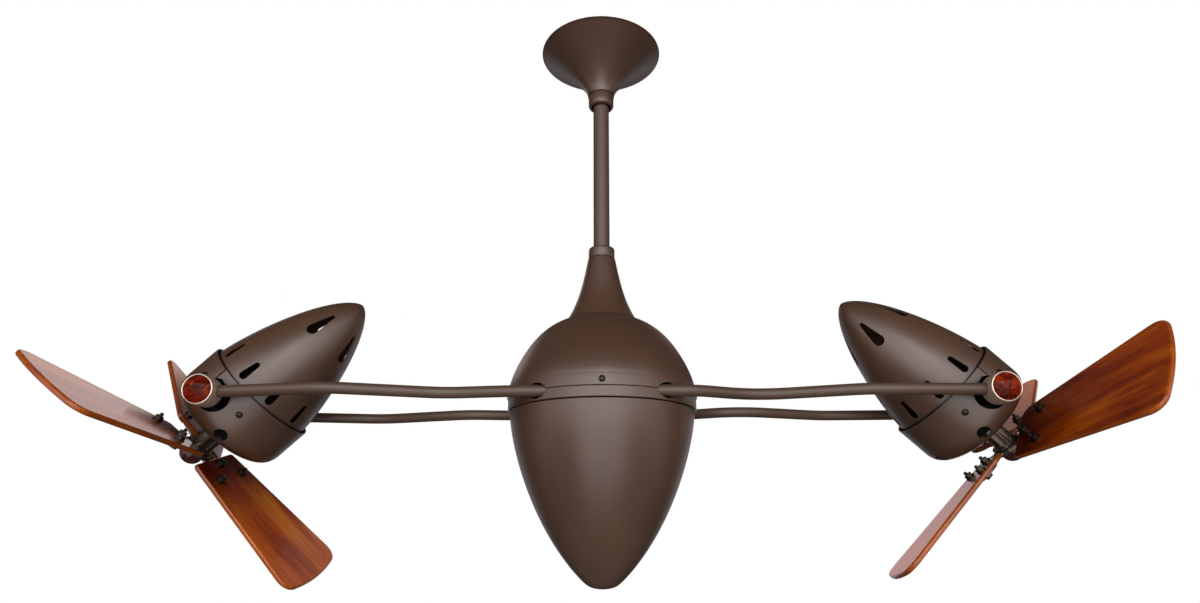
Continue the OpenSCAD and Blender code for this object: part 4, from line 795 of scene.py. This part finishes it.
cowlScrews = {"Head Radius": 3.5, "Head Height": 2.1, "Shank Radius": 1.6, "Shank Length": 8.0,
              "Recess Width": 0.8, "Material": finishes["dark"], "out": 65.2, "height": -18.5,
              "around": (27, -27, 207, 153)}
shadeBaffle = {"radius": 46, "low": -8, "straight": 2, "rise": 30}
hub = {"Lobes": 3, "Lobe Radius": 6.65, "Lobe Place": 5.85, "Lobe Height": 26.4, "Core Radius": 9.0,
       "Core Depth": 3.6, "Flange Radius": 15.0, "Flange Height": 3.0, "First Angle": math.radians(60),
       "Material": finishes["hub"]}
blade = {"place": 83.4, "root": 21, "tip": 187, "bulge": 8, "rootWidth": 71, "tipWidth": 125, "thick": 5.6,
         "pitch": 11.8, "cone": 1.9, "edge": 2.1, "tipCorner": 16, "rootCorner": {"left": 4, "right": 17},
         "studs": [(30, 0), (48, 22), (48, -22)]}
blade["phase"] = {"left": 40.6, "right": 25.6}
blade["board"] = {"left": [(0, 0.0), (1, -0.01), (6, 0.04)],  # which figure each blade shows, and its tone
                  "right": [(0, -0.01), (4, 0.0), (5, 0.02)]}
plateUnder = -blade["thick"] - 2.5
nose = {"radius": 12.5, "height": 16, "rim": 0.3, "steps": 14}
hubPlate = {"radius": 17, "thick": 5, "top": 1 - blade["place"] - blade["thick"]}


def headPlace(side):
    # from the head's own frame, with its axis along Z and the seam at zero, to the fan
    atPivot = turn("Z", 0 if side == "left" else 180) @ shift(-pivot["x"], 0, pivot["z"])
    return (atPivot @ turn("Y", -head["tilt"]) @ shift(head["seamAhead"], 0, -pivot["up"])
            @ turn("Z", 90) @ turn("X", 90))


def bladePlace(side, index):
    return (headPlace(side) @ shift(0, 0, -blade["place"]) @ turn("Z", blade["phase"][side] + 120 * index)
            @ turn("Y", blade["cone"]) @ turn("X", blade["pitch"]))


def rearRadius(u, r):
    return r * max(0.0, 1 - u ** head["rearCurve"]) ** head["rearPower"]


def rearCowl(side):
    steps, r, length, spigot = head["rearSteps"], head["rearRadius"], head["rearLength"], head["spigot"]
    innerR, innerL = r - head["wall"], length - head["wall"] * 1.4
    shares = [towardTip(i, steps) for i in range(steps)]
    outside = [(rearRadius(u, r), length * u) for u in shares] + [(0, length)]
    # narrow rings behind the front cowl's lip carry the edge of the painted seam shadow
    lap, seamEnd = head["lap"], head["lap"] + head["seamShadowWidth"]
    outside[1:1] = [(rearRadius(z / length, r), z) for z in (lap, seamEnd, seamEnd + head["seamShadowFade"])]
    inside = [(0, innerL)] + [(rearRadius(u, innerR), innerL * u) for u in shares[::-1]]
    shell = lathe([(innerR, -spigot), (r, -spigot)] + outside + inside, head["shellSides"])
    twist = 0 if side == "left" else 6
    return grow(shell, (ventRow, dict(smallVents, **{"First Angle": math.radians(twist)})),
                (ventRow, dict(largeVents, **{"First Angle": math.radians(twist + 180)})))


def paintSeamShadow(mesh):
    # marks the skin from the spigot to just behind the lip, where the powder coat paints the lip's shadow
    low, high = -head["spigot"] - 1, head["lap"] + head["seamShadowWidth"] + head["seamShadowFade"] / 2
    skin = head["rearRadius"] - 1.2
    marks = [1.0 if low < v.co.z < high and v.co.xy.length > skin else 0.0 for v in mesh.vertices]
    mesh.attributes.new("paintedSeamShadow", "FLOAT", "POINT").data.foreach_set("value", marks)
    return mesh


def tongues():
    # a curved plate each side that fills the front cowl's slot, with a bore round the pivot
    outer, inner = head["frontRadius"], head["rearRadius"] - head["wall"] + 0.3
    half = head["slot"] / 2 - head["tongueGap"]
    low, high = -head["spigot"] - 4, head["lap"]
    count = 16
    first, last = math.asin((pivot["up"] - half) / outer), math.asin((pivot["up"] + half) / outer)
    pieces = []
    for flip in (False, True):
        bm = bmesh.new()
        rows = []
        for k in range(count + 1):
            a = first + (last - first) * k / count
            x, y = math.cos(a), outer * math.sin(a)
            hole = math.sqrt(max(0.0, head["pivotHole"] ** 2 - (y - pivot["up"]) ** 2))
            base = max(low, -head["seamAhead"] + hole)
            corners = ((outer, base), (outer, high - 0.3), (outer - 0.3, high), (inner, high), (inner, base))
            rows.append([bm.verts.new((radius * x, y, z)) for radius, z in corners])
        for a, b in zip(rows, rows[1:]):
            for k in range(5):
                bm.faces.new((a[k], a[(k + 1) % 5], b[(k + 1) % 5], b[k]))
        bm.faces.new(rows[0])
        bm.faces.new(rows[-1])
        bmesh.ops.recalc_face_normals(bm, faces=bm.faces)
        if flip:
            bmesh.ops.transform(bm, matrix=Matrix.Scale(-1, 4, (1, 0, 0)), verts=bm.verts)
            bmesh.ops.reverse_faces(bm, faces=bm.faces)
        pieces.append(meshFrom(bm, "tongue"))
    return pieces


def frontRadius(u, r):
    return r * max(0.0, 1 - u ** head["frontCurve"]) ** head["frontPower"]


def frontShare(r, full):
    # how far along the round the radius comes down to r
    return (1 - (r / full) ** (1 / head["frontPower"])) ** (1 / head["frontCurve"])


def frontCowl():
    steps, lap, wall, straight, outer = (head[k] for k in ("frontSteps", "lap", "wall", "frontStraight",
                                                           "frontRadius"))
    r, innerR = outer - head["taper"], outer - wall - head["taper"]
    outShares = [frontShare(head["mouth"], r) * towardTip(i, steps) for i in range(steps + 1)]
    inShares = [frontShare(head["mouth"], innerR) * towardTip(i, steps) for i in range(steps, -1, -1)]
    lip = [(outer - wall, lap), (outer - 0.5, lap), (outer - 0.15, lap - 0.15), (outer, lap - 0.6)]
    outside = [(frontRadius(u, r), -straight - head["frontRound"] * u) for u in outShares]
    inside = [(frontRadius(u, innerR), -straight - (head["frontRound"] - wall) * u) for u in inShares]
    shell = grow(lathe(lip + outside + inside, head["shellSides"]), (ventRow, roundHoles))
    # the pivot holes and slots sit level with the pivot, beside the head's own axis
    shell.transform(shift(0, -pivot["up"], 0))
    shell = grow(shell, (ventRow, pivotHoles), (ventRow, pivotSlots))
    return moved(shell, shift(0, pivot["up"], 0))


def bladeOutline(side):
    # long edges that spread toward the tip, a shallow arc across it and a round where they meet
    halfRoot, halfTip, corner = blade["rootWidth"] / 2, blade["tipWidth"] / 2, blade["tipCorner"]
    root, bulge, rr = blade["root"], blade["bulge"], blade["rootCorner"][side]
    arcRadius = (halfTip ** 2 + bulge ** 2) / (2 * bulge)
    arcX = blade["tip"] + bulge - arcRadius
    edge = math.atan((halfTip - halfRoot) / (blade["tip"] - root))
    along = Vector((math.cos(edge), math.sin(edge)))
    start = Vector((root - arcX, halfRoot)) + corner * Vector((math.sin(edge), -math.cos(edge)))
    reach = math.sqrt(start.dot(along) ** 2 - start.dot(start) + (arcRadius - corner) ** 2) - start.dot(along)
    middle = start + reach * along
    halfArc = math.atan2(middle.y, middle.x)
    step = (math.pi / 2 + edge - halfArc) / 10
    upper = [(arcX + middle.x + corner * math.cos(a), middle.y + corner * math.sin(a))
             for a in (halfArc + step * i for i in range(1, 11))]
    tip = [(arcX + arcRadius * math.cos(a), arcRadius * math.sin(a))
           for a in (halfArc * (i / 12 - 1) for i in range(25))]
    innerY = halfRoot - rr * (1 - math.sin(edge)) / math.cos(edge)
    inner = [(root + rr + rr * math.cos(a), innerY + rr * math.sin(a))
             for a in (math.pi / 2 + edge + i * (math.pi / 2 - edge) / 8 for i in range(9))]
    lower = [(x, -y) for x, y in upper[::-1]]
    return [(root, 3 - halfRoot), (root + 3, -halfRoot)] + lower + tip + upper + inner


def grainAttributes(mesh, thick, board=0, tone=0.0):
    # keeps each point's own place on its board for the wood, the board's own tone, and the rounded edges
    places, edges = [], []
    for v in mesh.vertices:
        places += [v.co.x * millimetre, v.co.y * millimetre, (v.co.z + 90 * board) * millimetre]
        edges.append(0.7 if -thick + 0.5 < v.co.z < -0.5 else 0.0)
    mesh.attributes.new("alongGrain", "FLOAT_VECTOR", "POINT").data.foreach_set("vector", places)
    mesh.attributes.new("cutEdge", "FLOAT", "POINT").data.foreach_set("value", edges)
    mesh.attributes.new("boardTone", "FLOAT", "POINT").data.foreach_set("value", [tone] * len(edges))
    return mesh


# a dark spun sheet behind the motor closes the view through the small vents: painted shade standing in
# for the dark inside of the cowl
r, low, straight, rise = (shadeBaffle[k] for k in ("radius", "low", "straight", "rise"))
baffleOutline = [(0, low), (r, low), (r, straight)] + [
    (r * math.cos(a), straight + rise * math.sin(a)) for a in (math.pi / 40 * i for i in range(1, 20))
] + [(0, straight + rise)]
r, low = hubPlate["radius"], -hubPlate["thick"]
plateOutline = [(0, low), (r - 0.4, low), (r, low + 0.4), (r, -0.4), (r - 0.4, 0), (0, 0)]
ironOutline = [(6, -8), (22, -9), (42, -29), (52, -29), (56, -25), (56, 25), (52, 29), (42, 29), (22, 9),
               (6, 8)]
r, h, rim = nose["radius"], nose["height"], nose["rim"]
noseOutline = [(0, 0), (r, 0)] + [
    (r * math.cos(a), -h * (rim + (1 - rim) * math.sin(a)))
    for a in (math.pi / 2 * i / nose["steps"] for i in range(nose["steps"]))] + [(0, -h)]

for side in ("left", "right"):
    body, rotor, place = side + "_head", side + "_rotor", headPlace(side)
    shell = joined(paintSeamShadow(rearCowl(side)), *tongues())
    settle(side + "RearCowl", shell, "bronze", body, [side + "_rear_cowl"], place, 30)
    # near-black sheet behind the motor, painted shade for the inside of the cowl
    settle(side + "ShadeBaffle", lathe(baffleOutline, 64), "casting", body, (), place)
    settle(side + "FrontCowl", frontCowl(), "bronze", body, [side + "_front_cowl"], place, 30)
    settle(side + "CowlScrewSet", screwsAround(cowlScrews), "dark", body, [side + "_cowl_screws"], place)

    settle(side + "HubBarrels", grow(pointMesh([(0, 0, 0)]), (lobedHub, hub)), "hub", rotor, [side + "_hub"],
           place @ shift(0, 0, -1 - blade["place"]), 30)
    plates = [moved(lathe(plateOutline, 64), shift(0, 0, hubPlate["top"]))]
    for i in range(3):
        iron = prism(ironOutline, plateUnder, -blade["thick"], 0.5, 2)
        plates.append(moved(iron, place.inverted() @ bladePlace(side, i)))
    settle(side + "BladeIrons", joined(*plates), "hub", rotor, [side + "_irons"], place)
    for i, letter in enumerate("abc"):
        plank = prism(bladeOutline(side), -blade["thick"], 0, blade["edge"], 4)
        plank = grainAttributes(plank, blade["thick"], *blade["board"][side][i])
        settle(side + "Blade" + letter.upper(), plank, "wood", rotor, [side + "_blade_" + letter],
               bladePlace(side, i), 50, True)
    studSizes = {"Under Side": plateUnder, "First Angle": math.radians(blade["phase"][side]),
                 "Pitch": math.radians(blade["pitch"]), "Cone": math.radians(blade["cone"]),
                 "Material": finishes["dark"]}
    studs = grow(pointMesh([(x, y, 0) for x, y in blade["studs"]]), (bladeStudSet, studSizes))
    settle(side + "StudSet", studs, "dark", rotor, [side + "_fasteners"],
           place @ shift(0, 0, -blade["place"]), 25)
    settle(side + "NoseDome", grainAttributes(lathe(noseOutline, 64), 0), "wood", rotor, [side + "_nose"],
           place @ shift(0, 0, hubPlate["top"] - hubPlate["thick"]))
    print(side, "head made")


# the CAD nodes that stay keep their shape and get their own finish

def smoothTree():
    # merges a CAD node's loose triangles and shades its curves smooth
    tree, given = newTree("smoothCadNode", {"Edge Angle": math.radians(32)})
    merged = addNode(tree, "GeometryNodeMergeByDistance", 1, 0, {
        "Distance": 0.000002, "Geometry": given["Geometry"]})
    angle = addNode(tree, "GeometryNodeInputMeshEdgeAngle", 1, 2)
    flat = addNode(tree, "FunctionNodeCompare", 2, 2, {
        "data_type": "FLOAT", "operation": "LESS_EQUAL", 0: angle.outputs["Unsigned Angle"],
        1: given["Edge Angle"]})
    faces = addNode(tree, "GeometryNodeSetShadeSmooth", 2, 0, {
        "domain": "FACE", "Shade Smooth": True, "Geometry": merged})
    edges = addNode(tree, "GeometryNodeSetShadeSmooth", 3, 0, {
        "domain": "EDGE", "Geometry": faces, "Shade Smooth": flat})
    addNode(tree, "NodeGroupOutput", 4, 0, {0: edges})
    return tree


smoothCadNode = smoothTree()
keptFinish = {
    "hanger_bracket": "zinc", "hang_ball": "dark", "cross_pins": "zinc", "set_screws": "dark",
    "coupling": "casting", "spindle": "steel", "bearing_inners": "steel", "bearing_outers": "steel",
    "spindle_nut": "zinc", "slip_ring": "copper", "brush_block": "plastic", "bowl_screws": "zinc",
    "carrier": "casting", "pivot_bolts": "zinc"}
for side in ("left", "right"):
    keptFinish.update({side + "_motor_case": "casting", side + "_motor_cover": "casting",
                       side + "_stator": "copper", side + "_shaft": "steel"})
for name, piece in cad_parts.items():
    if name in keptFinish:
        piece.data.materials.clear()
        piece.data.materials.append(finishes[keptFinish[name]])
        piece.modifiers.new("smoothCadNode", "NODES").node_group = smoothCadNode
print("kept CAD nodes finished:", len(keptFinish))


# floor, light and camera; places here are in metres

floorSize = {"half": 6, "height": -2.2}
floorMesh = bpy.data.meshes.new("floor")
floorMesh.from_pydata([(x * floorSize["half"], y * floorSize["half"], floorSize["height"])
                       for x, y in ((-1, -1), (1, -1), (1, 1), (-1, 1))], [], [(0, 1, 2, 3)])
floor = newObject("floor", floorMesh)
# the floor is pale in every view; it neither lights the fan nor shows in its gloss
paleFloor, tree = newMaterial("paleStudioFloor")
finishShader(tree, 1, {
    "Base Color": linearColour("#e6e5e2"), "Roughness": 0.8, "Emission Color": linearColour("#f2f1ef"),
    "Emission Strength": 0.85})
floorMesh.materials.append(paleFloor)
floor.visible_diffuse = False
floor.visible_glossy = False


def softBox(name, place, aim, width, height, radiance, colour="#fdfbff"):
    # a soft panel whose brightness is given per area, so that its size can change alone
    light = bpy.data.lights.new(name, "AREA")
    light.shape, light.size, light.size_y = "RECTANGLE", width, height
    light.energy = radiance * math.pi * width * height
    light.color = linearColour(colour)[:3]
    lamp = newObject(name, light)
    facing = (Vector(aim) - Vector(place)).to_track_quat("-Z", "Y").to_matrix().to_4x4()
    lamp.matrix_world = Matrix.Translation(place) @ facing
    return lamp


# each panel's place, the point it faces, its width, height, brightness and colour
panels = {
    "frontPanel": ((0, -2.9, 0.22), (0, 0, -0.2), 4.0, 2.5, 3.4),
    "lowPanel": ((0, -2.9, -1.9), (0, 0, -0.8), 3.6, 1.9, 1.8),
    "keyPanel": ((0.1, -2.6, 0.7), (0, 0, -0.45), 0.4, 0.4, 12.0),
    "underPanel": ((0, -0.3, -2.1), (0, 0, -0.45), 4.5, 2.5, 0.15),
    "backPanel": ((0, 2.6, -0.5), (0, 0, -0.45), 5.2, 1.7, 0.48, "#f4f4ff"),
    "warmBackPanel": ((1.1, 2.55, -0.3), (0.4, 0, -0.45), 0.9, 0.6, 0.36, "#ff9068"),
    "highLeftPanel": ((-1.85, 2.6, 1.05), (-0.5, 0, -0.4), 1.3, 0.9, 1.2, "#ffe8e4"),
    "midLeftPanel": ((-0.85, 2.6, 0.62), (-0.4, 0, -0.4), 0.8, 0.5, 0.12, "#ffb8a4"),
    "highRightPanel": ((1.15, 2.6, 1.25), (0.4, 0, -0.4), 0.9, 0.5, 0.7, "#ffc8b8"),
    "tipPanel": ((2.9, 1.5, 0.0), (0.5, 0, -0.35), 1.1, 1.1, 1.0, "#fff0dc"),
    "leftPanel": ((-3.2, -0.6, -0.7), (0, 0, -0.45), 2.5, 2.5, 0.5, "#fbf8ff"),
    "rightPanel": ((3.2, -0.6, -0.7), (0, 0, -0.45), 2.5, 2.5, 0.5, "#fbf8ff"),
}
for name, settings in panels.items():
    softBox(name, *settings)
# wide wings that carry the sheen round the curves; they leave the diffuse light as it is
for turnBy, width, radiance in ((46, 1.3, 1.9), (-46, 1.3, 2.0), (67, 1.1, 0.6), (-67, 1.1, 0.7)):
    a = math.radians(turnBy)
    wing = softBox("wing" + str(turnBy).replace("-", "m"), (3.1 * math.sin(a), -3.1 * math.cos(a), 0.25),
                   (0, 0, -0.3), width, 2.5, radiance)
    wing.visible_diffuse = False
# plain light from behind for the back of the fan; it shows in no reflection
backFill = softBox("backFill", (0, 2.9, 0.3), (0, 0, -0.4), 4.2, 2.6, 1.3)
backFill.visible_glossy = False

# the camera sees plain white behind the fan, and the fan is lit by a dim sky
world = bpy.data.worlds.new("studio")
world.use_nodes = True
scene.world = world
tree = world.node_tree
tree.nodes.clear()
dim = addNode(tree, "ShaderNodeBackground", 1, 0, {"Color": linearColour("#dfe6ee"), "Strength": 0.07})
plain = addNode(tree, "ShaderNodeBackground", 1, 1, {"Color": (1, 1, 1, 1), "Strength": 1.0})
rays = addNode(tree, "ShaderNodeLightPath", 1, 2)
chosen = addNode(tree, "ShaderNodeMixShader", 2, 0, {0: rays.outputs["Is Camera Ray"], 1: dim, 2: plain})
addNode(tree, "ShaderNodeOutputWorld", 3, 0, {"Surface": chosen})
scene.view_settings.view_transform = "Standard"

cameraData = bpy.data.cameras.new("photoCamera")
cameraData.sensor_width = 36
cameraData.lens = 21.66
cameraData.shift_x, cameraData.shift_y = -0.0017, 0.0612
cameraData.clip_end = 50
camera = newObject("photoCamera", cameraData)
camera.matrix_world = shift(0, -0.8002, -0.5851) @ turn("X", 90 + 12.37) @ turn("Z", -0.2)
scene.camera = camera

print("scene ready")
